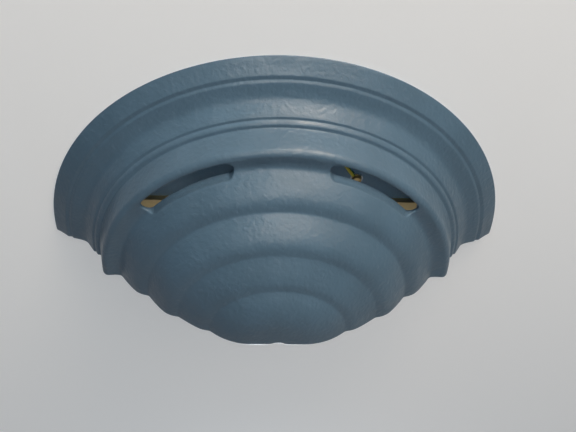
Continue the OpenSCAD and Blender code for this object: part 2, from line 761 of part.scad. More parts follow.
module backplate() {
    color(plate_blue) on_wall()
        difference() {
            half_disc(plate_r, plate_back, plate_front);
            translate([0, fixing_up, 0])
                rod(grommet_neck_r + set_gap, plate_back - over, plate_front + over);
            for (s = [-1, 1]) {
                translate([s * fixing_pitch / 2, fixing_up, 0])
                    rod(fixing_r, plate_back - over, plate_front + over);
                translate([s * bar_screw_x, bar_mid, 0])
                    rod(bar_screw_r + set_gap, plate_back - over, plate_front + over);
            }
            for (x = block_screws_x) {
                translate([x, block_mid, 0])
                    rod(block_screw_r + set_gap, plate_back - over, plate_front + over);
            }
            for (p = stud_places) {
                translate(p) rod(socket_neck_r + set_gap, plate_back - over, plate_front + over);
            }
            translate([earth_x, earth_up, 0])
                rod(earth_r + set_gap, plate_back - over, plate_front + over);
        }
}

module cable_grommet() {
    color(rubber_grey) on_wall() translate([0, fixing_up, 0]) {
        difference() {
            union() {
                rod(grommet_flange_r, grommet_back_gap, plate_back);
                rod(grommet_neck_r, grommet_back_gap, plate_front);
                rod(grommet_flange_r, plate_front, plate_front + grommet_front_t);
            }
            rod(grommet_bore_r, -over, plate_front + grommet_front_t + over);
        }
    }
}

module stud_sockets() {
    color(zinc) on_wall()
        for (p = stud_places) {
            translate(p) difference() {
                union() {
                    rod(socket_neck_r, plate_back, plate_front);
                    rod(socket_flange_r, plate_front, plate_front + socket_flange_t);
                    rod(socket_r, plate_front, socket_top);
                }
                rod(stud_r + run_gap, plate_back - over, socket_top + over);
            }
        }
}

module crossbar() {
    color(zinc_yellow) on_wall()
        difference() {
            translate([-bar_l / 2, bar_bottom, plate_front]) cube([bar_l, bar_h, bar_d]);
            translate([-bar_l / 2 - over, bar_bottom + bar_t, plate_front - over])
                cube([bar_l + 2 * over, bar_h - 2 * bar_t, bar_d - bar_t + over]);
            for (s = [-1, 1]) {
                translate([s * bar_screw_x, bar_mid, 0])
                    rod(bar_screw_r + set_gap, plate_front, bar_front + over);
                translate([s * arm_w / 4, arm_rivet_up, 0])
                    rod(rivet_r + set_gap, plate_front, bar_front + over);
            }
            for (y = bracket_rivets_up) {
                translate([bracket_rivet_x, y, 0])
                    rod(rivet_r + set_gap, plate_front, bar_front + over);
            }
        }
}

module bar_screws() {
    color(zinc) on_wall()
        for (s = [-1, 1]) {
            translate([s * bar_screw_x, bar_mid, 0])
                slotted_screw(bar_screw_head_r, bar_screw_head_h, bar_screw_r, bar_front, plate_back);
        }
}

module terminal_block() {
    color(white_plastic) on_wall()
        difference() {
            translate([-block_w / 2, block_up, plate_front]) cube([block_w, block_l, block_d]);
            for (x = poles) {
                translate([x, 0, wire_out])
                    upright_rod(wire_hole_r, block_up - over, block_up + block_l + over);
                for (y = pole_screws_up) {
                    translate([x, y, 0]) rod(pole_screw_r + set_gap, wire_out, block_front + over);
                }
            }
            for (x = block_screws_x) {
                translate([x, block_mid, 0]) {
                    rod(block_screw_r + set_gap, plate_front - over, block_front + over);
                    rod(block_screw_head_r + block_recess_gap, block_seat, block_front + over);
                }
            }
        }
}

module terminal_screws() {
    color(brass) on_wall()
        for (x = poles, y = pole_screws_up) {
            top = block_front - pole_screw_drop;
            translate([x, y, 0])
                difference() {
                    rod(pole_screw_r, wire_out + wire_hole_r, top);
                    translate([-pole_screw_r - over, -pole_slot_w / 2, top - pole_slot_d])
                        cube([2 * pole_screw_r + 2 * over, pole_slot_w, pole_slot_d + over]);
                }
        }
}

module block_screws() {
    color(zinc) on_wall()
        for (x = block_screws_x) {
            translate([x, block_mid, 0])
                slotted_screw(block_screw_head_r, block_screw_head_h, block_screw_r, block_seat,
                    plate_back);
        }
}

module earth_screw() {
    color(brass) on_wall() translate([earth_x, earth_up, 0])
        slotted_screw(earth_head_r, earth_head_h, earth_r, plate_front + earth_tag_t, plate_back);
}

module earth_tag() {
    color(zinc) on_wall() translate([earth_x, earth_up, plate_front])
        difference() {
            union() {
                cylinder(r = earth_tag_r, h = earth_tag_t);
                rotate([0, 0, earth_tail_angle])
                    translate([0, -earth_tail_w / 2, 0])
                        cube([earth_tail_l, earth_tail_w, earth_tag_t]);
            }
            translate([0, 0, -over]) cylinder(r = earth_r + set_gap, h = earth_tag_t + 2 * over);
        }
}

module earth_lead() {
    color(lead_green) on_wall() lead(earth_route, lead_r);
}

module live_lead() {
    color(lead_brown) on_wall() lead(live_route, lead_r);
}

module neutral_lead() {
    color(lead_blue) on_wall() lead(neutral_route, lead_r);
}

module sensor_cable() {
    color(cable_white) on_wall() lead(sensor_route, sensor_cable_r);
}

// Bracket: a foot on the crossbar and a plate across the back of the lampholder
module lampholder_bracket() {
    color(zinc) on_wall()
        difference() {
            union() {
                translate([bracket_end, bar_mid - bracket_w / 2, bar_front])
                    cube([bracket_foot + bracket_t, bracket_w, bracket_t]);
                translate([bracket_back, bar_mid - bracket_w / 2, bar_front])
                    cube([bracket_t, bracket_w, lamp_out - bar_front]);
                translate([0, lamp_up, lamp_out]) level_rod(bracket_end_r, bracket_back, holder_face);
            }
            for (y = bracket_rivets_up) {
                translate([bracket_rivet_x, y, 0])
                    rod(rivet_r + set_gap, bar_front - over, bar_front + bracket_t + over);
            }
            for (s = [-1, 1]) {
                translate([0, lamp_up, lamp_out + s * holder_screw_pitch / 2])
                    level_rod(holder_screw_r + set_gap, bracket_back - over, holder_face + over);
            }
        }
}

module bracket_rivets() {
    color(zinc) on_wall()
        for (y = bracket_rivets_up) {
            translate([bracket_rivet_x, y, 0])
                pan_head(rivet_head_r, rivet_head_h, rivet_r, bar_front + bracket_t,
                    bar_front - bar_t);
        }
}

module lampholder_body() {
    color(porcelain) on_wall() translate([0, lamp_up, lamp_out])
        difference() {
            level_rod(holder_r, holder_face, holder_mouth);
            level_rod(shell_r + shell_t + set_gap, holder_floor, holder_mouth + over);
            for (s = [-1, 1]) {
                translate([0, 0, s * holder_screw_pitch / 2])
                    level_rod(holder_screw_r + set_gap, holder_face - over, holder_floor - holder_web);
                translate([lead_hole_x, s * lead_hole_rise, 0])
                    rod(lead_r + lead_gap, -holder_r - over, -lead_hole_end);
            }
        }
}

module lampholder_shell() {
    color(brass) on_wall() translate([0, lamp_up, lamp_out])
        difference() {
            level_rod(shell_r + shell_t, shell_back, shell_front);
            level_rod(shell_r, shell_back - over, shell_front + over);
        }
}

module lampholder_contact() {
    color(brass) on_wall() translate([0, lamp_up, lamp_out])
        level_rod(contact_r, holder_floor, contact_face);
}

module holder_screws() {
    color(zinc) on_wall()
        for (s = [-1, 1]) {
            translate([bracket_back, lamp_up, lamp_out + s * holder_screw_pitch / 2])
                rotate([0, -90, 0])
                    pan_head(holder_screw_head_r, holder_screw_head_h, holder_screw_r, 0,
                        2 * holder_web - holder_base - bracket_t);
        }
}

module sensor_arm() {
    color(zinc_yellow) on_wall()
        difference() {
            union() {
                translate([-arm_w / 2, arm_up, bar_front]) cube([arm_w, arm_t + arm_foot, arm_t]);
                translate([-arm_w / 2, arm_up, bar_front]) cube([arm_w, arm_t, pan_out - bar_front]);
                translate([0, 0, pan_out]) upright_rod(arm_end_r, arm_up, arm_top);
            }
            translate([0, 0, pan_out]) upright_rod(pan_r + run_gap, arm_up - over, arm_top + over);
            for (s = [-1, 1]) {
                translate([s * arm_w / 4, arm_rivet_up, 0])
                    rod(rivet_r + set_gap, bar_front - over, bar_front + arm_t + over);
            }
        }
}

module arm_rivets() {
    color(zinc) on_wall()
        for (s = [-1, 1]) {
            translate([s * arm_w / 4, arm_rivet_up, 0])
                pan_head(rivet_head_r, rivet_head_h, rivet_r, bar_front + arm_t, bar_front - bar_t);
        }
}

// Half of a solid dome with the hood's front outline
module dome() {
    rotate_extrude(angle = 180) polygon(concat(front, [[0, nose_edge[1]], [0, rim_gap]]));
}

module hood_shell() {
    color(paint_blue) on_wall()
        difference() {
            union() {
                difference() {
                    dome();
                    rotate_extrude() polygon(back);
                }
                intersection() {
                    dome();
                    for (p = stud_places) {
                        translate(p) rod(post_r, post_end, flank_end[1]);
                    }
                }
            }
            for (p = stud_places) {
                translate(p) rod(stud_r + set_gap, post_end - over, post_end + stud_set);
            }
            for (s = [0, 1]) {
                mirror([s, 0, 0]) vent_slot();
            }
            translate([0, notch_h - notch_round, 0])
                rod(notch_round, nose_edge[1] - 2 * hood_wall, nose_edge[1] + hood_wall);
        }
}

// One curved slot with round ends, right of the middle, through the ledge and the first rib's foot
module vent_slot() {
    low = crease1[1] - 3 * hood_wall;
    high = crease1[1] + 3 * hood_wall;
    translate([0, 0, low]) {
        rotate([0, 0, 90 - slot_to])
            rotate_extrude(angle = slot_to - slot_from)
                translate([slot_r - slot_w / 2, 0]) square([slot_w, high - low]);
        for (a = [90 - slot_to, 90 - slot_from]) {
            translate(slot_r * [cos(a), sin(a)]) cylinder(r = slot_w / 2, h = high - low);
        }
    }
}

module hood_studs() {
    start = plate_back + stud_tip_up;
    color(zinc) on_wall()
        for (p = stud_places) {
            translate(p) {
                rod(stud_r, start + stud_bevel, post_end + stud_set - move_gap);
                translate([0, 0, start])
                    cylinder(r1 = stud_r - stud_bevel, r2 = stud_r, h = stud_bevel);
            }
        }
}

module lamp_globe() {
    color(opal) on_wall() translate([globe_mid, lamp_up, lamp_out])
        difference() {
            along_x() sphere(r = globe_r);
            along_x() sphere(r = globe_r - globe_t);
            level_rod(2 * globe_r, -2 * globe_r, -neck_back);
        }
}

module lamp_body() {
    color(white_plastic) on_wall() translate([0, lamp_up, lamp_out]) {
        cone_start = cap_end + lamp_neck_l;
        level_rod(cap_r, cap_end, cone_start);
        level_cone(cap_r, collar_r, cone_start, neck_face);
    }
}

module lamp_board() {
    color(white_plastic) on_wall() translate([0, lamp_up, lamp_out])
        level_rod(source_r, neck_face, neck_face + source_t);
}

module lamp_cap() {
    color(zinc) on_wall() translate([0, lamp_up, lamp_out]) level_rod(cap_r, cap_start, cap_end);
}

module lamp_insulator() {
    color(rubber_grey) on_wall() translate([0, lamp_up, lamp_out])
        level_cone(insulator_r / 2, insulator_r, lamp_tip + tip_h, cap_start);
}

module lamp_contact() {
    color(zinc) on_wall() translate([0, lamp_up, lamp_out])
        level_cone(tip_r * 0.75, tip_r, lamp_tip, lamp_tip + tip_h);
}

// Knuckle: a flange under the arm, a hollow pin up through it and two ears down to the tilt axis
module sensor_knuckle() {
    color(white_plastic) on_wall() translate([0, 0, pan_out])
        difference() {
            union() {
                upright_rod(knuckle_r, flange_bottom, flange_top);
                upright_rod(pan_r, flange_top, pan_pin_top);
                for (x = [ear_in, -ear_out]) {
                    ear(x);
                }
            }
            upright_rod(pan_bore_r, flange_bottom - over, pan_pin_top + over);
            translate([0, tilt_up, 0])
                level_rod(tilt_r + set_gap, -ear_out - over, ear_out + over);
        }
}

// One ear, with its left face at x
module ear(x) {
    translate([0, tilt_up, 0]) level_rod(ear_r, x, x + ear_t);
    translate([x, tilt_up, -ear_r]) cube([ear_t, flange_bottom - tilt_up + join, 2 * ear_r]);
}

module pan_nut() {
    color(zinc) on_wall() translate([0, 0, pan_out])
        difference() {
            upright_rod(pan_nut_r, pan_nut_bottom, pan_nut_bottom + pan_nut_t, $fn = 6);
            upright_rod(pan_r + set_gap, pan_nut_bottom - over, pan_nut_bottom + pan_nut_t + over);
        }
}

module tilt_screw() {
    color(dial_grey) on_wall() translate([0, tilt_up, pan_out]) {
        level_rod(tilt_r, -tilt_nut_out, ear_out);
        difference() {
            level_rod(tilt_head_r, ear_out, ear_out + tilt_head_t);
            for (i = [0 : grip_grooves - 1]) {
                a = 360 * i / grip_grooves;
                translate(tilt_head_r * [0, cos(a), sin(a)])
                    level_rod(grip_r, ear_out - over, ear_out + tilt_head_t + over, $fn = 16);
            }
        }
    }
}

module tilt_nut() {
    color(zinc) on_wall() translate([0, tilt_up, pan_out])
        difference() {
            level_rod(2 * tilt_r, -tilt_nut_out, -ear_out, $fn = 6);
            level_rod(tilt_r + set_gap, -tilt_nut_out - over, -ear_out + over);
        }
}

// The housing's outline from above, round in front and square behind, less a margin all round
module head_block(margin, from, to) {
    translate([0, 0, pan_out]) upright_rod(head_r - margin, from, to);
    translate([margin - pod_w / 2, from, pan_out - pod_back + margin])
        cube([pod_w - 2 * margin, to - from, pod_back - pod_front]);
}

module sensor_housing() {
    color(white_plastic) on_wall()
        difference() {
            union() {
                head_block(0, head_bottom, head_top);
                translate([0, tilt_up, pan_out]) level_rod(ear_r, -lug_t / 2, lug_t / 2);
                translate([-lug_t / 2, head_top - join, pan_out - ear_r])
                    cube([lug_t, tilt_up - head_top + join, 2 * ear_r]);
            }
            head_block(head_wall, head_bottom + head_wall, head_top - head_wall);
            translate([0, 0, lens_out])
                upright_rod(lens_hole_r, head_bottom - over, head_bottom + head_wall + over);
            translate([0, tilt_up, pan_out])
                level_rod(tilt_r + run_gap, -lug_t / 2 - over, lug_t / 2 + over);
            for (x = dials_x) {
                translate([x, 0, pan_out - dial_back])
                    upright_rod(dial_stem_r + run_gap, head_bottom - over,
                        head_bottom + head_wall + over);
            }
        }
}

module lens_ring() {
    color(white_plastic) on_wall() translate([0, 0, lens_out])
        difference() {
            upright_rod(lens_r + lens_ring_w, ring_bottom, head_bottom);
            upright_rod(lens_r + set_gap, ring_bottom - over, head_bottom + over);
        }
}

// The lens: a thin dome below a short tube with a flange at its top
module pir_lens() {
    inner_r = lens_r - lens_t;
    tip = ring_bottom - lens_h;
    inside = arc([inner_r, ring_bottom], [0, tip + lens_t], cap_turn(inner_r, lens_h - lens_t), 12);
    color(lens_white) on_wall() translate([0, 0, lens_out]) rotate([-90, 0, 0])
        rotate_extrude()
            polygon(concat(
                [[inner_r, head_bottom + lens_flange_t],
                    [lens_r + lens_flange_w, head_bottom + lens_flange_t],
                    [lens_r + lens_flange_w, head_bottom], [lens_r, head_bottom]],
                arc([lens_r, ring_bottom], [0, tip], cap_turn(lens_r, lens_h), 12),
                [[0, tip], [0, tip + lens_t]],
                [for (i = [len(inside) - 1 : -1 : 0]) inside[i]]
            ));
}

module sensor_board() {
    color(board_green) on_wall() head_block(head_wall + move_gap, board_bottom, board_top);
}

module detector_can() {
    color(zinc) on_wall() translate([0, 0, lens_out])
        upright_rod(detector_r, board_bottom - detector_h, board_bottom);
}

module light_cell() {
    color(lead_brown) on_wall() translate([cell_x, 0, lens_out + led_forward])
        upright_rod(cell_r, board_bottom - cell_h, board_bottom);
}

module status_led() {
    color(led_red) on_wall() translate([-cell_x, 0, lens_out + led_forward]) {
        upright_rod(led_r, board_bottom - led_h, board_bottom);
        upright_rod(led_r + led_flange, board_bottom - 2 * led_flange, board_bottom);
    }
}

module relay() {
    color(lead_blue) on_wall()
        translate([-relay_l + dial_stem_r + 1, board_bottom - relay_h, relay_out])
            cube([relay_l, relay_h, relay_w]);
}

module capacitor() {
    color(rubber_grey) on_wall() translate([capacitor_x, 0, relay_out + relay_w / 2])
        upright_rod(capacitor_r, board_bottom - relay_h, board_bottom);
}

// A dial under the control box, with a stem up to the board and a finger bar across it
module dial(x) {
    top = head_bottom - move_gap;
    disc = top - dial_h / 2;
    low = top - dial_h;
    color(dial_grey) on_wall() translate([x, 0, pan_out - dial_back]) {
        upright_rod(dial_r, disc, top);
        upright_rod(dial_stem_r, disc, board_bottom - move_gap);
        intersection() {
            upright_rod(dial_r, low, top);
            translate([-dial_bar_w / 2, low, -dial_r])
                cube([dial_bar_w, dial_h / 2 + join, 2 * dial_r]);
        }
    }
}

module time_dial() {
    dial(dials_x[0]);
}

module lux_dial() {
    dial(dials_x[1]);
}

module range_dial() {
    dial(dials_x[2]);
}

wall_gasket();
backplate();
cable_grommet();
stud_sockets();
crossbar();
bar_screws();
terminal_block();
terminal_screws();
block_screws();
earth_screw();
earth_tag();
earth_lead();
live_lead();
neutral_lead();
sensor_cable();
lampholder_bracket();
bracket_rivets();
lampholder_body();
lampholder_shell();
lampholder_contact();
holder_screws();
sensor_arm();
arm_rivets();
hood_shell();
hood_studs();
lamp_globe();
lamp_body();
lamp_board();
lamp_cap();
lamp_insulator();
lamp_contact();
sensor_knuckle();
pan_nut();
tilt_screw();
tilt_nut();
sensor_housing();
lens_ring();
pir_lens();
sensor_board();
detector_can();
light_cell();
status_led();
relay();
capacitor();
time_dial();
lux_dial();
range_dial();
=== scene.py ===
"""Finishes the wall light: its hood, its lamp, its sensor, their materials, and the stage"""

import json
import math

import bmesh
import bpy
import numpy as np
from bpy.props import FloatProperty, FloatVectorProperty, PointerProperty
from mathutils import Euler, Matrix, Vector


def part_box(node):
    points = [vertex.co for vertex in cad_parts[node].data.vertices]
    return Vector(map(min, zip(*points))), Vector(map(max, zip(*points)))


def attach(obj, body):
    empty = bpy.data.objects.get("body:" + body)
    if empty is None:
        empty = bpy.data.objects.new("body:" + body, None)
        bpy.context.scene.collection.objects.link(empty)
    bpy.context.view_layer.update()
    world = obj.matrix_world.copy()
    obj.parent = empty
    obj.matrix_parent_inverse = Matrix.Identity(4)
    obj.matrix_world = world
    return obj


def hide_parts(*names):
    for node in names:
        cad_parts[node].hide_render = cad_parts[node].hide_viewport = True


bl_info = {
    "name": "Motion sensor wall light",
    "version": (1, 0, 0),
    "blender": (4, 5, 0),
    "location": "View3D > Sidebar > Wall light",
    "description": "Models a wall light with a ribbed hood, a lamp and a motion sensor",
    "category": "Object",
}

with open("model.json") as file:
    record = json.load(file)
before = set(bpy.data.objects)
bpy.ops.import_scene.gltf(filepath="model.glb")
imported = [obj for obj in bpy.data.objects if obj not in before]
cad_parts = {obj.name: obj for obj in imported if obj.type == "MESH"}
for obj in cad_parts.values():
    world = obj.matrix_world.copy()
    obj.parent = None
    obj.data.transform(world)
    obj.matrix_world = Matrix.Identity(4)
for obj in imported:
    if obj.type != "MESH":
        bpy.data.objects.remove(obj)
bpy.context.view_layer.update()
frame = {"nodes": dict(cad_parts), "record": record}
MM = 0.001
MERGE = 0.002 * MM
HOOD_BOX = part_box("hood_shell")
SLOT_OF = {p["node"]: p["material_slot"] for p in frame["record"]["subparts"]}
BODY_OF = {n: b for b, nodes in frame["record"]["behaviour"]["bodies"].items() for n in nodes}


# Sizes and colours that a user would change


class HoodSettings(bpy.types.PropertyGroup):
    """Sizes of the ribbed hood"""

    radius: FloatProperty(
        name="Radius", description="Radius of the hood at the wall",
        default=HOOD_BOX[1].x, unit="LENGTH")
    wall: FloatProperty(
        name="Wall", description="Thickness of the cast wall",
        default=2.6 * MM, unit="LENGTH")
    edge: FloatProperty(
        name="Edge", description="Radius of the rounded edges",
        default=0.8 * MM, unit="LENGTH")
    slot_radius: FloatProperty(
        name="Slot radius", description="Radius of the middle of the vent slots",
        default=104.5 * MM, unit="LENGTH")
    slot_width: FloatProperty(
        name="Slot width", description="Width of the vent slots",
        default=9 * MM, unit="LENGTH")
    slot_from: FloatProperty(
        name="Slot start", description="Angle from upright to a slot's inner end",
        default=math.radians(17.9), subtype="ANGLE")
    slot_to: FloatProperty(
        name="Slot end", description="Angle from upright to a slot's outer end",
        default=math.radians(48.5), subtype="ANGLE")
    notch_width: FloatProperty(
        name="Notch width", description="Width of the finger notch",
        default=8 * MM, unit="LENGTH")
    notch_height: FloatProperty(
        name="Notch height", description="Height of the finger notch",
        default=2 * MM, unit="LENGTH")
    column: FloatProperty(
        name="Column", description="Angle between two columns of the hood's mesh",
        default=math.radians(1), subtype="ANGLE")


class PaintSettings(bpy.types.PropertyGroup):
    """The slate-blue paint"""

    colour: FloatVectorProperty(
        name="Colour", description="Colour of the paint",
        default=(0.083, 0.147, 0.214), min=0, max=1, subtype="COLOR")
    roughness: FloatProperty(
        name="Roughness", description="Roughness of the paint",
        default=0.4, min=0, max=1)
    grain: FloatProperty(
        name="Grain", description="Number of bumps in the paint per metre",
        default=390)
    depth: FloatProperty(
        name="Depth", description="Height of the bumps in the paint",
        default=0.34 * MM, unit="LENGTH")


class StageSettings(bpy.types.PropertyGroup):
    """The lamps, the backdrop and the camera"""

    above: FloatProperty(
        name="Above", description="Power of the warm lamp above the light",
        default=24, subtype="POWER")
    front: FloatProperty(
        name="Front", description="Power of the small lamp beside the camera",
        default=3.1, subtype="POWER")
    right: FloatProperty(
        name="Right", description="Power of the warm lamp at the front right",
        default=4, subtype="POWER")
    left: FloatProperty(
        name="Left", description="Power of the cool lamp above at the left",
        default=2.4, subtype="POWER")
    behind: FloatProperty(
        name="Behind", description="Power of the lamp behind the wall, which lights the back",
        default=9, subtype="POWER")
    below: FloatProperty(
        name="Below", description="Power of the small lamp below, which lights the hood's inside",
        default=1.5, subtype="POWER")
    sky: FloatProperty(
        name="Sky", description="Strength of the surrounding light",
        default=0.1)
    backdrop: FloatVectorProperty(
        name="Backdrop", description="Colour of the wall and the floor",
        default=(0.72, 0.73, 0.74), min=0, max=1, subtype="COLOR")
    floor_drop: FloatProperty(
        name="Floor", description="Distance of the floor below the hood's edge",
        default=0.9, unit="LENGTH")
    eye: FloatVectorProperty(
        name="Camera", description="Place of the camera",
        default=(-0.01752, -0.35254, 0.41575), subtype="TRANSLATION")
    turn: FloatVectorProperty(
        name="Camera turn", description="Rotation of the camera",
        default=(math.radians(41.360), math.radians(-2.421), math.radians(-1.359)), subtype="EULER")
    lens: FloatProperty(
        name="Lens", description="Focal length in millimetres",
        default=48.9)


# Materials


class Finish:
    """A material whose patterns all read Object coordinates, so they stay on the piece in any pose"""

    def __init__(self, name, colour, roughness, metallic=0.0, **sockets):
        self.material = bpy.data.materials.new(name)
        self.material.use_nodes = True
        self.material.diffuse_color = (*colour, 1)
        self.nodes = self.material.node_tree.nodes
        self.links = self.material.node_tree.links
        self.shader = self.nodes["Principled BSDF"]
        self.shader.inputs["Base Color"].default_value = (*colour, 1)
        self.shader.inputs["Roughness"].default_value = roughness
        self.shader.inputs["Metallic"].default_value = metallic
        for socket, value in sockets.items():
            self.shader.inputs[socket.replace("_", " ")].default_value = value
        self.place = self.add("ShaderNodeTexCoord").outputs["Object"]
        self.colour = tuple(colour)
        self.roughness = roughness

    def add(self, kind, **settings):
        """A new node with these settings"""
        node = self.nodes.new(kind)
        for key, value in settings.items():
            setattr(node, key, value)
        return node

    def feed(self, socket, value):
        """Links an output to a socket, or writes a plain value there"""
        if isinstance(value, bpy.types.NodeSocket):
            self.links.new(value, socket)
        else:
            socket.default_value = value

    def stretched(self, scale):
        """Object coordinates stretched along the axes"""
        node = self.add("ShaderNodeMapping")
        node.inputs["Scale"].default_value = scale
        self.links.new(self.place, node.inputs["Vector"])
        return node.outputs["Vector"]

    def noise(self, per_metre, detail=2.0, rough=0.5, place=None, distortion=0.0):
        """Cloudy noise with this many features per metre"""
        node = self.add("ShaderNodeTexNoise")
        node.inputs["Scale"].default_value = per_metre
        node.inputs["Detail"].default_value = detail
        node.inputs["Roughness"].default_value = rough
        node.inputs["Distortion"].default_value = distortion
        self.links.new(place or self.place, node.inputs["Vector"])
        return node.outputs["Fac"]

    def cells(self, per_metre, feature="F1"):
        """Distance to the nearest of many scattered points, or to the edge between two of them"""
        node = self.add("ShaderNodeTexVoronoi", feature=feature)
        node.inputs["Scale"].default_value = per_metre
        self.links.new(self.place, node.inputs["Vector"])
        return node.outputs["Distance"]

    def spread(self, value, low, high, to_low=0.0, to_high=1.0):
        """Maps low to high onto a new range, smoothly and within it"""
        node = self.add("ShaderNodeMapRange", interpolation_type="SMOOTHSTEP")
        node.inputs["From Min"].default_value = low
        node.inputs["From Max"].default_value = high
        node.inputs["To Min"].default_value = to_low
        node.inputs["To Max"].default_value = to_high
        self.links.new(value, node.inputs["Value"])
        return node.outputs["Result"]

    def sum(self, a, b, share=1.0):
        """b times its share, plus a"""
        node = self.add("ShaderNodeMath", operation="MULTIPLY_ADD")
        self.feed(node.inputs[0], b)
        self.feed(node.inputs[1], share)
        self.feed(node.inputs[2], a)
        return node.outputs[0]

    def times(self, a, b):
        """The product of two values"""
        node = self.add("ShaderNodeMath", operation="MULTIPLY")
        self.feed(node.inputs[0], a)
        self.feed(node.inputs[1], b)
        return node.outputs[0]

    def blend(self, factor, first, second):
        """A colour between two, by a factor"""
        node = self.add("ShaderNodeMix", data_type="RGBA")
        self.feed(node.inputs[0], factor)
        for socket, colour in ((node.inputs[6], first), (node.inputs[7], second)):
            self.feed(socket, colour if isinstance(colour, bpy.types.NodeSocket) else (*colour, 1))
        return node.outputs[2]

    def edges(self, low=0.52, high=0.6):
        """1 on raised edges and 0 elsewhere"""
        return self.spread(self.add("ShaderNodeNewGeometry").outputs["Pointiness"], low, high)

    def corners(self):
        """1 in hollows and creases, the mask for painted shade, and 0 elsewhere"""
        return self.spread(self.add("ShaderNodeNewGeometry").outputs["Pointiness"], 0.42, 0.49, 1.0, 0.0)

    def paint(self, colour):
        """Uses this output as the colour"""
        self.links.new(colour, self.shader.inputs["Base Color"])

    def polish(self, value, spread=0.1):
        """Varies the roughness by a value from 0 to 1"""
        smoothest, roughest = max(0.02, self.roughness - spread), min(1.0, self.roughness + spread)
        rough = self.spread(value, 0.25, 0.75, smoothest, roughest)
        self.links.new(rough, self.shader.inputs["Roughness"])

    def bump(self, height, depth):
        """Raises the surface by a height from 0 to 1, times this depth in metres"""
        node = self.add("ShaderNodeBump")
        node.inputs["Strength"].default_value = 1.0
        node.inputs["Distance"].default_value = depth
        self.links.new(height, node.inputs["Height"])
        last = self.shader.inputs["Normal"]
        if last.is_linked:
            self.links.new(last.links[0].from_socket, node.inputs["Normal"])
        self.links.new(node.outputs["Normal"], last)

    def mottled(self, amount, per_metre, worn, worn_share, hollow_shade=0.3):
        """Uneven colour, edges rubbed towards the worn colour, and painted shade in the hollows"""
        cloud = self.noise(per_metre, 4, 0.6)
        light = tuple(min(1.0, c) for c in scaled(self.colour, 1 + amount))
        colour = self.blend(self.spread(cloud, 0.3, 0.7), scaled(self.colour, 1 - amount), light)
        if worn:
            rubbed = self.times(self.edges(), self.spread(self.noise(per_metre * 6, 3), 0.42, 0.6))
            colour = self.blend(self.times(rubbed, worn_share), colour, worn)
        # Painted shade: hollows and creases darkened towards 0.45 of the colour
        if hollow_shade:
            colour = self.blend(self.times(self.corners(), hollow_shade), colour, scaled(self.colour, 0.45))
        self.paint(colour)
        self.polish(cloud)


def lighter(colour, share):
    """A colour part of the way to white"""
    return tuple(c + (1 - c) * share for c in colour)


def scaled(colour, factor):
    """A colour times a factor, which is darker below 1 and stronger above it"""
    return tuple(c * factor for c in colour)


def painted(name, depth_share=1.0, painted_light_gain=1.0):
    """Satin slate-blue paint, rolled on, with the grain that a roller leaves, painted shade in its creases,
    and painted light where its gain lightens it
    """
    settings = bpy.context.scene.wall_light_paint
    # Painted light: a gain above 1 lightens the paint to stand in for light that does not reach the piece
    colour = scaled(settings.colour, painted_light_gain)
    look = Finish(name, colour, settings.roughness, Specular_IOR_Level=0.5)
    grain = look.noise(settings.grain, 1.5, 0.4, distortion=0.2)
    pimples = look.spread(look.noise(settings.grain * 0.75, 0, 0.5), 0.56, 0.78)
    fine = look.noise(settings.grain * 4, 2, 0.5)
    swell = look.noise(45, 1, 0.4)
    height = look.sum(look.times(grain, 0.75), pimples, 0.25)
    look.bump(swell, settings.depth * 3.2 * depth_share)
    look.bump(height, settings.depth * depth_share)
    look.bump(fine, settings.depth * 0.12)
    cloud = look.noise(24, 5, 0.6)
    tone = look.blend(look.spread(cloud, 0.3, 0.7), scaled(colour, 0.93), scaled(colour, 1.06))
    tone = look.blend(look.times(pimples, 0.05), tone, lighter(colour, 0.1))
    dust = look.times(look.edges(0.5, 0.56), look.spread(look.noise(260, 3, 0.6), 0.4, 0.62))
    tone = look.blend(look.times(dust, 0.05), tone, lighter(colour, 0.22))
    # Painted shade: creases and hollows darkened towards half the paint's colour
    look.paint(look.blend(look.times(look.corners(), 0.6), tone, scaled(colour, 0.5)))
    look.polish(look.noise(settings.grain * 0.5, 2), 0.05)
    return look


def plated(name, colour, roughness, shine=0.12, iris=None):
    """Plated sheet metal with fine drawn lines, a cloudy plating, rubbed edges and painted shade in its
    hollows
    """
    look = Finish(name, colour, roughness, 1.0)
    lines = look.noise(900, 2, 0.6, look.stretched((0.05, 1, 1)))
    cloud = look.noise(70, 4, 0.6)
    tone = look.blend(look.spread(cloud, 0.3, 0.7), scaled(colour, 1 - shine), lighter(colour, shine * 0.5))
    if iris:
        tone = look.blend(look.spread(look.noise(34, 3, 0.7), 0.45, 0.7, 0, 0.7), tone, iris)
    tone = look.blend(look.times(look.edges(), 0.3), tone, lighter(colour, 0.35))
    # Painted shade: hollows darkened towards 0.35 of the colour
    look.paint(look.blend(look.times(look.corners(), 0.5), tone, scaled(colour, 0.35)))
    look.polish(look.sum(look.times(cloud, 0.5), lines, 0.5), 0.1)
    look.bump(lines, 0.012 * MM)
    look.bump(cloud, 0.03 * MM)
    return look


def moulded(name, colour, roughness, grain=900, depth=0.03, **sockets):
    """Moulded plastic or rubber with a fine grain, uneven tone, rubbed edges and painted shade in its hollows
    """
    look = Finish(name, colour, roughness, 0.0, **sockets)
    look.mottled(0.05, 50, lighter(colour, 0.2), 0.3)
    look.bump(look.noise(grain, 2, 0.5), depth * MM)
    look.bump(look.noise(60, 1), 0.08 * MM)
    return look


def foam():
    """Black closed-cell foam: small round cells, cut open at its edge"""
    look = moulded("foam", (0.03, 0.03, 0.034), 0.9, 700, 0.1)
    look.bump(look.spread(look.cells(650), 0.05, 0.5), 0.25 * MM)
    return look


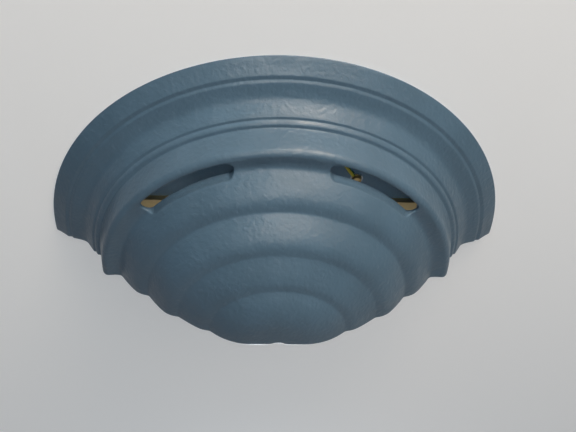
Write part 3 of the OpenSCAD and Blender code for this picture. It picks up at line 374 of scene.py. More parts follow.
def striped_sheath():
    """Green sheath with two yellow stripes that run along it"""
    look = Finish("earth_lead", (0.05, 0.26, 0.05), 0.42)
    round_lead = look.add("ShaderNodeSeparateXYZ")
    look.links.new(look.add("ShaderNodeUVMap", uv_map="UVMap").outputs["UV"], round_lead.inputs[0])
    wave = look.add("ShaderNodeMath", operation="PINGPONG")
    look.links.new(round_lead.outputs["Y"], wave.inputs[0])
    wave.inputs[1].default_value = 0.25
    stripe = look.spread(wave.outputs[0], 0.115, 0.135)
    tone = look.blend(stripe, (0.04, 0.24, 0.04), (0.72, 0.6, 0.05))
    look.paint(look.blend(look.spread(look.noise(300, 4), 0.5, 0.8, 0, 0.25), tone, (0.2, 0.26, 0.1)))
    look.bump(look.noise(1400, 2), 0.03 * MM)
    look.polish(look.noise(200, 3))
    return look


def glazed():
    """White porcelain under a clear glaze, with a few pits"""
    look = Finish("porcelain", (0.8, 0.78, 0.72), 0.16, 0.0, Coat_Weight=0.6, Coat_Roughness=0.06,
                  Subsurface_Weight=0.05, Subsurface_Scale=0.002)
    look.mottled(0.03, 40, (0.66, 0.62, 0.54), 0.5)
    look.bump(look.noise(120, 2), 0.12 * MM)
    look.bump(look.spread(look.cells(260), 0.02, 0.09), 0.05 * MM)
    return look


def opal():
    """Opal glass that lets light through softly"""
    look = Finish("opal_globe", (0.86, 0.85, 0.81), 0.3, 0.0, Subsurface_Weight=0.5, Subsurface_Scale=0.004,
                  Coat_Weight=0.3, Coat_Roughness=0.15)
    look.mottled(0.02, 30, None, 0, 0)
    look.bump(look.noise(90, 1), 0.06 * MM)
    look.bump(look.noise(2200, 1), 0.006 * MM)
    return look


def milky_lens():
    """Milky plastic of the sensor's lens, thin enough to glow a little"""
    look = Finish("lens_plastic", (0.74, 0.75, 0.74), 0.36, 0.0,
                  Subsurface_Weight=0.4, Subsurface_Scale=0.003)
    look.mottled(0.03, 60, None, 0, 0.4)
    look.bump(look.noise(1500, 1), 0.015 * MM)
    return look


def board_mask(name, colour):
    """Solder mask on a circuit board, with copper tracks that show as raised lines"""
    look = Finish(name, colour, 0.35, 0.0, Coat_Weight=0.4, Coat_Roughness=0.15)
    tracks = look.spread(look.cells(320, "DISTANCE_TO_EDGE"), 0.02, 0.06, 1.0, 0.0)
    tone = look.blend(tracks, colour, lighter(scaled(colour, 1.3), 0.08))
    look.paint(look.blend(look.spread(look.noise(500, 3), 0.5, 0.8, 0, 0.2), tone, lighter(colour, 0.2)))
    look.bump(tracks, 0.05 * MM)
    look.polish(look.noise(90, 3))
    return look


FINISHES = {
    "hood_paint": lambda: painted("hood_paint"),
    # Painted light: the plate's paint is 2.4 times the hood's colour, paler to stand in for light that hardly
    # reaches it inside the hood
    "plate_paint": lambda: painted("plate_paint", 0.7, 2.4),
    "foam": foam,
    "zinc_steel": lambda: plated("zinc_steel", (0.62, 0.63, 0.64), 0.3),
    "yellow_zinc": lambda: plated("yellow_zinc", (0.46, 0.34, 0.13), 0.46, 0.14, (0.4, 0.26, 0.12)),
    "brass": lambda: plated("brass", (0.56, 0.4, 0.15), 0.36),
    "nickel_cap": lambda: plated("nickel_cap", (0.66, 0.65, 0.61), 0.22),
    "white_plastic": lambda: moulded("white_plastic", (0.76, 0.76, 0.73), 0.44),
    "grey_plastic": lambda: moulded("grey_plastic", (0.09, 0.09, 0.1), 0.45),
    "grommet_rubber": lambda: moulded("grommet_rubber", (0.025, 0.025, 0.026), 0.62, 600, 0.05),
    "live_lead": lambda: moulded("live_lead", (0.16, 0.07, 0.03), 0.4, 1200),
    "neutral_lead": lambda: moulded("neutral_lead", (0.02, 0.09, 0.35), 0.4, 1200),
    "white_cable": lambda: moulded("white_cable", (0.68, 0.68, 0.66), 0.5, 1200),
    "earth_lead": striped_sheath,
    "porcelain": glazed,
    "opal_globe": opal,
    "lamp_board": lambda: board_mask("lamp_board", (0.8, 0.8, 0.78)),
    "circuit_board": lambda: board_mask("circuit_board", (0.02, 0.16, 0.07)),
    "black_insulator": lambda: moulded("black_insulator", (0.02, 0.02, 0.022), 0.2, 300, 0.06),
    "lens_plastic": milky_lens,
    "light_cell": lambda: moulded("light_cell", (0.35, 0.12, 0.06), 0.25, 500, 0.03),
    "red_led": lambda: moulded("red_led", (0.5, 0.02, 0.02), 0.15, 400, 0.01,
                               Coat_Weight=0.5, Coat_Roughness=0.1),
    "relay_plastic": lambda: moulded("relay_plastic", (0.04, 0.15, 0.42), 0.35),
    "capacitor_sleeve": lambda: moulded("capacitor_sleeve", (0.03, 0.03, 0.04), 0.3),
}
made_finishes = {}


def finish_of(slot):
    """The material of a slot, made once"""
    if slot not in made_finishes:
        made_finishes[slot] = FINISHES[slot]().material
    return made_finishes[slot]


# Making pieces

FLAT_ANGLE = math.radians(0.6)
SHARP_ANGLE = math.radians(32)


def placed(bm, name, slot, body, nodes, sharp=48):
    """Turns a finished mesh into a piece that rides on a body and stands for these nodes"""
    mesh = bpy.data.meshes.new(name)
    bm.to_mesh(mesh)
    bm.free()
    mesh.shade_smooth()
    mesh.set_sharp_from_angle(angle=math.radians(sharp))
    piece = bpy.data.objects.new(name, mesh)
    bpy.context.scene.collection.objects.link(piece)
    mesh.materials.append(finish_of(slot))
    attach(piece, body)
    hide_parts(*nodes)
    return piece


def softened(node, width):
    """The node's own shape with its sharp edges rounded by this width in millimetres"""
    bm = bmesh.new()
    bm.from_mesh(frame["nodes"][node].data)
    bmesh.ops.remove_doubles(bm, verts=bm.verts, dist=MERGE)
    bmesh.ops.dissolve_limit(bm, angle_limit=FLAT_ANGLE, verts=bm.verts, edges=bm.edges)
    edges = [e for e in bm.edges if e.is_manifold and e.calc_face_angle() > SHARP_ANGLE]
    bmesh.ops.bevel(bm, geom=edges, offset=width * MM, offset_type="OFFSET", segments=2, profile=0.5,
                    affect="EDGES", clamp_overlap=True, material=-1)
    piece = placed(bm, "finished_" + node, SLOT_OF[node], BODY_OF[node], [node])
    shade = piece.modifiers.new("Even shading", "WEIGHTED_NORMAL")
    shade.keep_sharp = True
    return piece


# The hood

SLOTS_ABOVE = 10 * MM
NOTCH_REACH = 14 * MM
NOTCH_DEPTH = 20 * MM
RIM_TAPER = 8 * MM
RIM_LEAST = 0.2
POST_RADIUS = 4.5 * MM
POST_START = 9.8 * MM
POST_EDGE = 0.5 * MM
STUD_RING = 120 * MM
STUD_ANGLES = (12, 90, 168)

# The outline from the rim to the tip, in millimetres, as strokes: a name, how far in, how far out, and the
# stroke's turn in degrees. The moulding's strokes keep sharper corners than the ribs' do.
SAMPLE = 0.25
RIM_OUT = 0.5
RIM_FLAT = 1.6
RIM_EDGE = 0.7
SOFT_PASSES = 26
CORNER_PASSES = 8
BACK_PASSES = 20
MOST_TURN = 6
MOST_RUN = 3
MOULDINGS = (
    ("outer bevel", 9, 6.4, 8),
    ("outer groove", 2.6, 0.1, 0),
    ("outer bead", 2.2, 1.6, -64),
    ("floor of the hollow", 6.6, 2, 10),
    ("foot of the hollow's rise", 3, 2.4, 30),
    ("the hollow's rise", 4.6, 6.9, 0),
    ("inner groove", 1.6, 0, 0),
    ("inner bead", 1.6, 2.8, -50),
    ("groove under the flank", 2, 0.2, 0),
    ("flank", 3, 13.6, 0),
    ("corner", 3.4, 3.2, -60),
    ("outer half of the ledge", 5.1, -0.3, 0),
)
RIBS = (
    ("inner half of the ledge", 4, 0.4, 8),
    ("first rib", 9.2, 11.4, -10),
    ("shoulder of the first rib", 10, 4.7, -42),
    ("second rib", 9.6, 11.6, -12),
    ("shoulder of the second rib", 10.4, 4.5, -42),
    ("third rib", 12.4, 8.3, -8),
    ("shoulder of the third rib", 7.6, 2.1, -29),
    ("nose", 26.6, 9.9, -2 * math.degrees(math.atan2(9.9, 26.6))),
    ("flat tip", 16, 0, 0),
)


def stroke(start, inward, outward, turn):
    """Points of an arc from start, given its chord and its turn; a turn of 0 is a straight line"""
    chord = math.hypot(inward, outward)
    steps = np.linspace(0, 1, max(2, round(chord / SAMPLE)) + 1)[1:]
    if not turn:
        return [(start[0] + inward * t, start[1] + outward * t) for t in steps]
    turn = math.radians(turn)
    first = math.atan2(outward, inward) - turn / 2
    radius = chord / (2 * math.sin(turn / 2))
    heads = first + turn * steps
    return [(start[0] + radius * (math.sin(h) - math.sin(first)),
             start[1] + radius * (math.cos(first) - math.cos(h))) for h in heads]


def eased(points, passes):
    """Rounds the corners of a line of points, more with each pass, and keeps its ends"""
    for _ in range(passes):
        points[1:-1] = (points[:-2] + 2 * points[1:-1] + points[2:]) / 4
    return points


def front_outline():
    """The hood's front from its rim to its tip, as radius and distance out, in millimetres"""
    radius = bpy.context.scene.wall_light_hood.radius / MM
    line = [(RIM_FLAT, RIM_OUT)]
    line += stroke(line[-1], -RIM_FLAT, 0, 0)
    line += stroke(line[-1], 0, RIM_EDGE, 0)
    for _, inward, outward, turn in MOULDINGS:
        line += stroke(line[-1], inward, outward, turn)
    ledge_middle = len(line)
    for _, inward, outward, turn in RIBS:
        line += stroke(line[-1], inward, outward, turn)
    line = np.array(line)
    line[ledge_middle:] = eased(line[ledge_middle:].copy(), SOFT_PASSES)
    line = eased(line, CORNER_PASSES)
    return np.column_stack([radius - line[:, 0], line[:, 1]])


def thinned(line):
    """Keeps a point of the line wherever it has turned or run on far enough since the last one kept"""
    kept = [line[0]]
    turned = run = 0.0
    for before, here, after in zip(line[:-2], line[1:-1], line[2:]):
        a, b = here - before, after - here
        run += math.hypot(*a)
        turned += abs(math.degrees(math.atan2(a[0] * b[1] - a[1] * b[0], a[0] * b[0] + a[1] * b[1])))
        if turned > MOST_TURN or run > MOST_RUN:
            kept.append(here)
            turned = run = 0.0
    return np.array(kept + [line[-1]])


class SlotBand:
    """The ring of the hood that holds the two vent slots, and how its mesh bends round their ends"""

    low, high = 88.0, 112.0
    gap = 0.2
    grow = 12.0
    row = 0.85
    cap_steps = 8

    def __init__(self, settings):
        self.middle = settings.slot_radius / MM
        self.half = (settings.slot_width / 2 + settings.edge) / MM
        self.start = math.degrees(settings.slot_from)
        self.end = math.degrees(settings.slot_to)
        self.cap = math.degrees(self.half / self.middle)

    def rows(self):
        """Radii of the mesh's rings in the band, from the outside in"""
        stops = (self.high, self.middle + self.half, self.middle - self.half, self.low)
        parts = [np.linspace(a, b, round((a - b) / self.row) + 1) for a, b in zip(stops, stops[1:])]
        return np.concatenate([parts[0][:-1], parts[1][:-1], parts[2]])

    def columns(self, spacing):
        """Angles of the mesh's columns from upright, close together round the slots' ends"""
        steps = range(1, self.cap_steps + 1)
        ends = [self.cap * math.sin(math.radians(90 * k / self.cap_steps)) for k in steps]
        first, last = self.start - self.cap, self.end + self.cap
        half = list(np.linspace(0, first, round(first / spacing) + 1))[:-1]
        half += [self.start - e for e in reversed(ends)]
        half += list(np.linspace(self.start, self.end, round((self.end - self.start) / spacing) + 1))
        half += [self.end + e for e in ends]
        half += list(np.linspace(last, 90, round((90 - last) / spacing) + 1))[1:]
        return np.array([-a for a in reversed(half[1:])] + half)

    def beyond(self, angle):
        """Distance of a column beyond the centre of the nearer slot end, in millimetres"""
        return self.middle * math.radians(max(self.start - abs(angle), abs(angle) - self.end, 0))

    def holds(self, radius, angle):
        """True in the slots' own openings"""
        across = abs(radius - self.middle) < self.half
        return across and self.start - self.cap < abs(angle) < self.end + self.cap

    def slid(self, radius, angle):
        """Where a ring passes at this column, so that two rings follow the slot's round end"""
        x = self.beyond(angle)
        if x < self.half:
            h = math.sqrt(max(0.0, self.half**2 - x**2))
        else:
            t = min(1.0, (x - self.half) / self.grow)
            h = self.half * t * t * (3 - 2 * t)
        rings = (self.low, self.middle - self.half, self.middle + self.half, self.high)
        return float(np.interp(radius, rings, (self.low, self.middle - h, self.middle + h, self.high)))


def with_band(line, band):
    """The outline with its points in the band set at the band's rings"""
    rows = band.rows()
    order = np.argsort(line[:, 0])
    outs = np.interp(rows, line[order, 0], line[order, 1])
    outer = thinned(line[line[:, 0] > band.high + band.gap])
    inner = thinned(line[line[:, 0] < band.low - band.gap])
    return np.concatenate([outer, np.column_stack([rows, outs]), inner])


def rolled(bm, edges, radius, layers, away_of, share_of, steps=3):
    """Carries an open edge round a quarter turn into the wall, by each point's share of the radius"""
    bm.normal_update()
    base, away, inward = layers
    for v in {v for e in edges for v in e.verts}:
        v[base] = v.co
        v[away] = away_of(v) * radius
        v[inward] = v.normal * -radius * share_of(v)
    for k in range(1, steps + 1):
        angle = math.pi / 2 * k / steps
        fresh = bmesh.ops.extrude_edge_only(bm, edges=edges)["geom"]
        edges = [g for g in fresh if isinstance(g, bmesh.types.BMEdge) and g.is_boundary]
        for v in (g for g in fresh if isinstance(g, bmesh.types.BMVert)):
            v.co = v[base] + v[away] * math.sin(angle) + v[inward] * (1 - math.cos(angle))
    return edges


def away_from_faces(vert):
    """The direction in which the surface would go on beyond an open edge"""
    total = Vector()
    for edge in (e for e in vert.link_edges if e.is_boundary):
        along = (edge.verts[1].co - edge.verts[0].co).normalized()
        side = along.cross(vert.normal)
        middle = (edge.verts[0].co + edge.verts[1].co) / 2
        total += side if side.dot(edge.link_faces[0].calc_center_median() - middle) < 0 else -side
    return total.normalized()


def spun(bm, outlines, side, steps):
    """Spins the front and the back outline, joined at the rim, through half a turn"""
    verts = []
    for number, line in enumerate(outlines):
        for r, out in line[::-1] if number == 0 else line:
            verts.append(bm.verts.new((r * MM, -out * MM, 0)))
            verts[-1][side] = number
    edges = [bm.edges.new(pair) for pair in zip(verts, verts[1:])]
    bmesh.ops.spin(bm, geom=verts + edges, cent=(0, 0, 0), axis=(0, -1, 0), angle=math.pi, steps=steps,
                   space=Matrix.Identity(4))


def slotted(bm, lines, side, band, angles):
    """Sets the spun mesh's columns at their angles, bends its rings round the slots and cuts the slots out"""
    count = len(angles) - 1
    polar = {}
    for v in bm.verts:
        r = math.hypot(v.co.x, v.co.z) / MM
        k = round(abs(math.atan2(v.co.z, v.co.x)) / math.pi * count) if r > 0.001 else 0
        polar[v] = (r, angles[::-1][k])
    cut = [f for f in bm.faces if band.holds(sum(polar[v][0] for v in f.verts) / len(f.verts),
                                             sum(polar[v][1] for v in f.verts) / len(f.verts))]
    for v, (r, angle) in polar.items():
        out = -v.co.y
        if band.low < r < band.high:
            r = band.slid(r, angle)
            line = lines[v[side]]
            out = float(np.interp(r, line[:, 0], line[:, 1])) * MM
        a = math.radians(angle)
        v.co = (r * MM * math.sin(a), -out, r * MM * math.cos(a))
    bmesh.ops.delete(bm, geom=cut, context="FACES")
    bmesh.ops.remove_doubles(bm, verts=bm.verts, dist=MERGE)
    bmesh.ops.recalc_face_normals(bm, faces=bm.faces)


def rounded_slots(bm, radius, layers):
    """Rounds the slots' edges on both faces of the wall and joins the two"""
    rims = [e for e in bm.edges if e.is_boundary and all(v.co.z > SLOTS_ABOVE for v in e.verts)]
    rings = rolled(bm, rims, radius, layers, away_from_faces, lambda v: 1)
    for sign in (-1, 1):
        bmesh.ops.bridge_loops(bm, edges=[e for e in rings if e.verts[0].co.x * sign > 0])


def levelled(bm, settings, layers):
    """Cuts the hood level, rounds its lower edge, less where the rim is thin, and closes it"""
    bmesh.ops.bisect_plane(bm, geom=list(bm.verts) + list(bm.edges) + list(bm.faces), dist=1e-6,
                           plane_co=(0, 0, settings.edge), plane_no=(0, 0, 1), clear_inner=True)
    lower = [e for e in bm.edges if e.is_boundary]
    lower = rolled(bm, lower, settings.edge, layers, lambda v: Vector((0, 0, -1)),
                   lambda v: min(1.0, RIM_LEAST + (settings.radius - abs(v.co.x)) / RIM_TAPER))
    rim = bmesh.ops.edgeloop_fill(bm, edges=lower)["faces"]
    bmesh.ops.triangulate(bm, faces=rim, ngon_method="EAR_CLIP")
    bmesh.ops.remove_doubles(bm, verts=bm.verts, dist=MERGE)
    bmesh.ops.recalc_face_normals(bm, faces=bm.faces)


def notched(bm, settings):
    """Raises the lower edge into a shallow notch at the tip of the nose"""
    side = settings.notch_width * 0.75
    for v in bm.verts:
        if abs(v.co.x) < side and v.co.z < NOTCH_REACH and v.co.y < HOOD_BOX[0].y + NOTCH_DEPTH:
            share = max(0.0, math.cos(abs(v.co.x) / side * math.pi / 2)) ** 1.5
            v.co.z += settings.notch_height * share * (1 - v.co.z / NOTCH_REACH)


def hood_mesh():
    """The cast hood: its outline spun through half a turn, slotted, cut level and rounded at its edges"""
    settings = bpy.context.scene.wall_light_hood
    band = SlotBand(settings)
    front = front_outline()
    back = eased(front - settings.wall / MM, BACK_PASSES)
    back = back[(back[:, 1] > RIM_OUT) & (back[:, 0] > 0)]
    back = np.concatenate([[(back[0, 0], RIM_OUT)], back, [(0, back[-1, 1])]])
    angles = band.columns(math.degrees(settings.column))

    bm = bmesh.new()
    side = bm.verts.layers.int.new("side")
    layers = [bm.verts.layers.float_vector.new(n) for n in ("base", "away", "inward")]
    spun(bm, (with_band(front, band), with_band(back, band)), side, len(angles) - 1)
    lines = [line[np.argsort(line[:, 0])] for line in (front, back)]
    slotted(bm, lines, side, band, angles)
    rounded_slots(bm, settings.edge, layers)
    levelled(bm, settings, layers)
    notched(bm, settings)
    return bm, lines


def add_posts(bm, lines):
    """Cast posts inside the hood for its three studs, which end in the middle of its wall"""
    for angle in STUD_ANGLES:
        a = math.radians(angle)
        place = Matrix.Translation((STUD_RING * math.cos(a), 0, STUD_RING * math.sin(a)))
        made = bmesh.ops.create_cone(bm, cap_ends=True, segments=40, radius1=POST_RADIUS, radius2=POST_RADIUS,
                                     depth=1, matrix=place @ Matrix.Rotation(math.pi / 2, 4, "X"))
        for v in made["verts"]:
            r = math.hypot(v.co.x, v.co.z) / MM
            middle = sum(float(np.interp(r, line[:, 0], line[:, 1])) for line in lines) / 2 * MM
            v.co.y = -middle if v.co.y < 0 else -POST_START
        edges = dict.fromkeys(e for v in made["verts"] for e in v.link_edges)
        ends = [e for e in edges if all(abs(w.co.y + POST_START) < 1e-7 for w in e.verts)]
        bmesh.ops.bevel(bm, geom=ends, offset=POST_EDGE, offset_type="OFFSET", segments=3, profile=0.5,
                        affect="EDGES", material=-1)


class WALLLIGHT_OT_hood(bpy.types.Operator):
    """Make the ribbed hood with its vent slots, rounded edges and stud posts"""

    bl_idname = "wall_light.hood"
    bl_label = "Make the hood"

    def execute(self, context):
        bm, lines = hood_mesh()
        add_posts(bm, lines)
        placed(bm, "ribbed_hood", "hood_paint", "hood", ["hood_shell"], 70)
        softened("hood_studs", 0.15)
        return {"FINISHED"}


# The plate, the wiring, the lamp and the sensor

# How wide each node's sharp edges are rounded, in millimetres
PLATE_EDGES = {
    "wall_gasket": 0.4, "backplate": 0.3, "cable_grommet": 0.5, "crossbar": 0.5, "stud_sockets": 0.25,
    "bar_screws": 0.25, "block_screws": 0.2, "terminal_block": 0.4, "terminal_screws": 0.15,
    "earth_screw": 0.2, "earth_tag": 0.15,
}
LAMP_EDGES = {
    "lampholder_bracket": 0.3, "bracket_rivets": 0.2, "lampholder_body": 0.8, "lampholder_shell": 0.1,
    "lampholder_contact": 0.3, "holder_screws": 0.2, "lamp_globe": 0.2, "lamp_body": 0.4, "lamp_board": 0.1,
    "lamp_cap": 0.4, "lamp_insulator": 0.4, "lamp_contact": 0.3,
}
SENSOR_EDGES = {
    "sensor_arm": 0.3, "arm_rivets": 0.2, "sensor_knuckle": 0.4, "pan_nut": 0.3, "tilt_screw": 0.2,
    "tilt_nut": 0.3, "sensor_housing": 0.8, "lens_ring": 0.3, "pir_lens": 0.1, "sensor_board": 0.1,
    "detector_can": 0.2, "light_cell": 0.2, "status_led": 0.2, "relay": 0.3, "capacitor": 0.4,
    "time_dial": 0.2, "lux_dial": 0.2, "range_dial": 0.2,
}


class WALLLIGHT_OT_plate(bpy.types.Operator):
    """Make the backplate, its gasket, crossbar, grommet and screws"""

    bl_idname = "wall_light.plate"
    bl_label = "Make the plate"

    def execute(self, context):
        for node, width in PLATE_EDGES.items():
            softened(node, width)
        return {"FINISHED"}


def lead(node, radius, points):
    """A smooth lead with this radius along a route"""
    curve = bpy.data.curves.new(node, "CURVE")
    curve.dimensions = "3D"
    curve.bevel_depth = radius * MM
    curve.bevel_resolution = 5
    curve.use_fill_caps = True
    curve.resolution_u = 6
    spline = curve.splines.new("BEZIER")
    spline.bezier_points.add(len(points) - 1)
    for knot, (x, up, out) in zip(spline.bezier_points, points):
        knot.co = (x * MM, -out * MM, up * MM)
        knot.handle_left_type = knot.handle_right_type = "AUTO"
    holder = bpy.data.objects.new(node + "_route", curve)
    mesh = bpy.data.meshes.new_from_object(holder)
    bm = bmesh.new()
    bm.from_mesh(mesh)
    bpy.data.objects.remove(holder)
    bpy.data.meshes.remove(mesh)
    bmesh.ops.remove_doubles(bm, verts=bm.verts, dist=MERGE)
    bmesh.ops.recalc_face_normals(bm, faces=bm.faces)
    placed(bm, "smooth_" + node, SLOT_OF[node], BODY_OF[node], [node])


# Radii and routes of the leads, in millimetres; a route's points are x, height and distance out
LEAD_RADIUS = 1.3
CABLE_RADIUS = 1.5
LIVE = (
    (-18, 96.5, 9.8), (-18, 103.5, 9.8), (-18.4, 107, 9.2), (-20, 109.4, 8.6), (-24, 110.6, 7.4),
    (-28, 107.6, 5.8), (-29.2, 100, 5.2), (-28.6, 90, 5.2), (-26, 78, 5.2), (-23.6, 66, 5.2),
    (-22.8, 56, 5.3), (-24.4, 47.6, 6.2), (-28.4, 41.6, 8.6), (-34.95, 38, 9.6), (-42.95, 39, 10),
    (-48.95, 44, 10.6), (-52.75, 48, 12.6), (-52.75, 49, 16), (-52.75, 49, 23),
)
NEUTRAL = (
    (-6, 96.5, 9.8), (-6, 103.5, 9.8), (-6.6, 106.8, 9.2), (-9.4, 108.6, 7), (-15, 108.6, 5.3),
    (-21, 107.4, 5.1), (-25, 104, 5.1), (-25.8, 97, 5.1), (-25.2, 87, 5.1), (-22.6, 76, 5.1),
    (-20.4, 66, 5.1), (-19.2, 56, 5.2), (-20, 46, 6.4), (-24, 38, 9.2), (-31.95, 33.6, 9.8),
    (-40.95, 33, 10), (-47.95, 36, 10.6), (-52.75, 39.6, 12.6), (-52.75, 41, 16), (-52.75, 41, 23),
)
EARTH = (
    (18, 96.5, 9.8), (18, 103.5, 9.8), (18.4, 107, 9.2), (20.4, 109.6, 8.6), (25, 111, 7.4),
    (29.6, 108.2, 5.8), (30.8, 100, 5.2), (33.6, 88, 5.2), (38, 76, 5.2), (43, 67.5, 5.3),
    (46.2, 62.6, 5.7), (47.2, 61.1, 5.7),
)
SENSOR = (
    (6, 96.5, 9.8), (6, 103.5, 9.8), (6.6, 107, 9.2), (9.4, 108.8, 7), (15, 108.6, 5.4), (21, 107.6, 5.2),
    (25.6, 104.4, 5.2), (26.8, 98, 5.2), (26.4, 88, 5.2), (24.6, 74, 5.2), (23.4, 60, 5.2), (23, 48, 6),
    (21.6, 40, 9.4), (19, 33, 10.6), (14.6, 26, 11.6), (8, 20.6, 13.6), (2.4, 17.6, 18), (0, 17.2, 26),
    (0, 17.2, 36), (0, 18.4, 44), (0, 21.4, 50), (0, 24.6, 54), (0, 25, 57), (0, 21.6, 58), (0, 16, 58),
)


class WALLLIGHT_OT_wiring(bpy.types.Operator):
    """Make the leads and the sensor's cable"""

    bl_idname = "wall_light.wiring"
    bl_label = "Make the wiring"

    def execute(self, context):
        lead("live_lead", LEAD_RADIUS, LIVE)
        lead("neutral_lead", LEAD_RADIUS, NEUTRAL)
        lead("earth_lead", LEAD_RADIUS, EARTH)
        lead("sensor_cable", CABLE_RADIUS, SENSOR)
        return {"FINISHED"}


class WALLLIGHT_OT_lamp(bpy.types.Operator):
    """Make the lampholder with its bracket, and the lamp"""

    bl_idname = "wall_light.lamp"
    bl_label = "Make the lamp"

    def execute(self, context):
        for node, width in LAMP_EDGES.items():
            softened(node, width)
        return {"FINISHED"}


class WALLLIGHT_OT_sensor(bpy.types.Operator):
    """Make the sensor with its arm, swivel, lens, board and dials"""

    bl_idname = "wall_light.sensor"
    bl_label = "Make the sensor"

    def execute(self, context):
        for node, width in SENSOR_EDGES.items():
            softened(node, width)
        return {"FINISHED"}


# The stage


def backdrop_finish(name, colour, near, lift):
    """Pale matt backdrop that shows only from its front, and not to light rays from nearer than near"""
    look = Finish(name, colour, 0.9, 0.0, Specular_IOR_Level=0.1)
    rays = look.add("ShaderNodeLightPath")
    seen = look.sum(rays.outputs["Is Camera Ray"], rays.outputs["Is Glossy Ray"])
    seen = look.sum(seen, rays.outputs["Is Transmission Ray"])
    pale = look.blend(look.spread(look.noise(2, 3), 0.3, 0.7), colour, scaled(colour, 0.985))
    look.paint(look.blend(seen, scaled(colour, 0.1), pale))
    look.shader.inputs["Emission Color"].default_value = (*colour, 1)
    look.links.new(look.times(seen, lift), look.shader.inputs["Emission Strength"])
    clear = look.add("ShaderNodeBsdfTransparent")
    mix = look.add("ShaderNodeMixShader")
    see_through = look.add("ShaderNodeNewGeometry").outputs["Backfacing"]
    if near:
        close = look.add("ShaderNodeMath", operation="LESS_THAN")
        look.links.new(rays.outputs["Ray Length"], close.inputs[0])
        close.inputs[1].default_value = near
        unseen = look.add("ShaderNodeMath", operation="SUBTRACT")
        unseen.inputs[0].default_value = 1
        look.links.new(rays.outputs["Is Camera Ray"], unseen.inputs[1])
        either = look.add("ShaderNodeMath", operation="MAXIMUM")
        look.links.new(see_through, either.inputs[0])
        look.links.new(look.times(close.outputs[0], unseen.outputs[0]), either.inputs[1])
        see_through = either.outputs[0]
    look.links.new(see_through, mix.inputs[0])
    look.links.new(look.shader.outputs[0], mix.inputs[1])
    look.links.new(clear.outputs[0], mix.inputs[2])
    look.links.new(mix.outputs[0], look.nodes["Material Output"].inputs["Surface"])
    return look.material


def sheet(name, size, matrix, material):
    """A flat square of the stage"""
    bm = bmesh.new()
    bmesh.ops.create_grid(bm, x_segments=1, y_segments=1, size=size / 2, matrix=matrix)
    mesh = bpy.data.meshes.new(name)
    bm.to_mesh(mesh)
    bm.free()
    mesh.materials.append(material)
    piece = bpy.data.objects.new(name, mesh)
    bpy.context.scene.collection.objects.link(piece)


STAGE_SIZE = 6
WALL_BEHIND = 0.6 * MM
WALL_CLEAR = 6 * MM
FLOOR_BEHIND = 10 * MM
SKY_COLOUR = (0.3, 0.65, 1.0)
AIM = (0, -0.04, 0.06)

# Each lamp's name, size, elevation, azimuth to the right of straight ahead, distance, aim and colour
LAMPS = (
    ("above", 0.6, 75, 90, 1.3, AIM, (1, 0.85, 0.7)),
    ("front", 0.3, 48, -2, 1.1, AIM, (1, 0.93, 0.84)),
    ("right", 0.6, 50, 40, 1.3, AIM, (1, 0.86, 0.72)),
    ("left", 0.6, 75, -90, 1.3, AIM, (0.35, 0.78, 1)),
    ("below", 0.08, -90, 0, 0.7, (0, -0.035, 0), (0.85, 0.93, 1)),
    ("behind", 1, 25, 150, 1.2, AIM, (1, 1, 1)),
)


def lamp(name, power, size, elevation, azimuth, distance, aim, colour):
    """A square area lamp that looks at its aim"""
    light = bpy.data.lights.new(name, "AREA")
    light.energy = power
    light.size = size
    light.color = colour
    piece = bpy.data.objects.new(name, light)
    bpy.context.scene.collection.objects.link(piece)
    e, a = math.radians(elevation), math.radians(azimuth)
    offset = Vector((math.cos(e) * math.sin(a), -math.cos(e) * math.cos(a), math.sin(e))) * distance
    piece.location = Vector(aim) + offset
    piece.rotation_euler = (-offset).to_track_quat("-Z", "Y").to_euler()


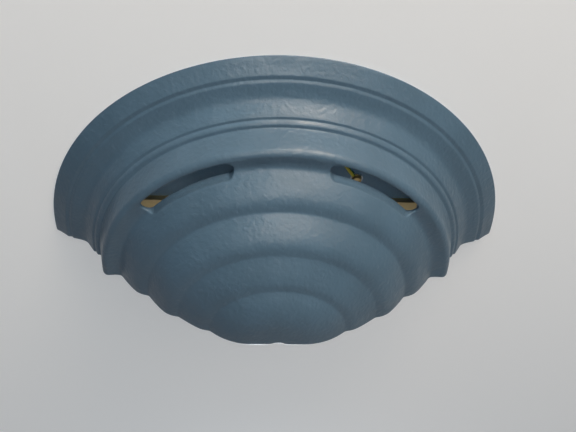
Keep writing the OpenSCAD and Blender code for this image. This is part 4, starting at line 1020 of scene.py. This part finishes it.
class WALLLIGHT_OT_stage(bpy.types.Operator):
    """Make the wall, the floor, the lamps and the camera"""

    bl_idname = "wall_light.stage"
    bl_label = "Make the stage"

    def execute(self, context):
        scene = context.scene
        settings = scene.wall_light_stage
        colour = tuple(settings.backdrop)
        upright = Matrix.Rotation(math.pi / 2, 4, "X")
        wall = Matrix.Translation((0, WALL_BEHIND, STAGE_SIZE / 2 - settings.floor_drop)) @ upright
        sheet("wall", STAGE_SIZE, wall, backdrop_finish("wall_backdrop", colour, WALL_CLEAR, 0.4))
        floor = Matrix.Translation((0, FLOOR_BEHIND - STAGE_SIZE / 2, -settings.floor_drop))
        sheet("floor", STAGE_SIZE, floor, backdrop_finish("floor_backdrop", colour, 0, 0.3))
        for name, *rest in LAMPS:
            lamp(name, getattr(settings, name), *rest)

        world = bpy.data.worlds.new("surroundings")
        world.use_nodes = True
        sky = world.node_tree.nodes["Background"]
        sky.inputs["Color"].default_value = (*SKY_COLOUR, 1)
        sky.inputs["Strength"].default_value = settings.sky
        scene.world = world
        scene.view_settings.view_transform = "Standard"

        camera = bpy.data.cameras.new("photo_camera")
        camera.lens = settings.lens
        camera.sensor_width = 36
        camera.clip_start = 0.01
        eye = bpy.data.objects.new("photo_camera", camera)
        scene.collection.objects.link(eye)
        eye.location = settings.eye
        eye.rotation_euler = Euler(settings.turn)
        scene.camera = eye
        return {"FINISHED"}


class WALLLIGHT_PT_panel(bpy.types.Panel):
    """Lists the steps that make the wall light"""

    bl_label = "Wall light"
    bl_space_type = "VIEW_3D"
    bl_region_type = "UI"
    bl_category = "Wall light"

    def draw(self, context):
        scene = context.scene
        for settings in (scene.wall_light_hood, scene.wall_light_paint, scene.wall_light_stage):
            box = self.layout.box()
            for name in settings.__annotations__:
                box.prop(settings, name)
        for operator in OPERATORS:
            self.layout.operator(operator.bl_idname)


SETTINGS = (
    ("wall_light_hood", HoodSettings),
    ("wall_light_paint", PaintSettings),
    ("wall_light_stage", StageSettings),
)
OPERATORS = (
    WALLLIGHT_OT_hood,
    WALLLIGHT_OT_plate,
    WALLLIGHT_OT_wiring,
    WALLLIGHT_OT_lamp,
    WALLLIGHT_OT_sensor,
    WALLLIGHT_OT_stage,
)


def register():
    for name, group in SETTINGS:
        bpy.utils.register_class(group)
        setattr(bpy.types.Scene, name, PointerProperty(type=group))
    for cls in (*OPERATORS, WALLLIGHT_PT_panel):
        bpy.utils.register_class(cls)


def unregister():
    for cls in reversed((*OPERATORS, WALLLIGHT_PT_panel)):
        bpy.utils.unregister_class(cls)
    for name, group in reversed(SETTINGS):
        delattr(bpy.types.Scene, name)
        bpy.utils.unregister_class(group)


def main():
    """Makes every piece in turn"""
    register()
    for operator in OPERATORS:
        step = operator.bl_idname.split(".")[1]
        getattr(bpy.ops.wall_light, step)()


if __name__ == "__main__":
    main()
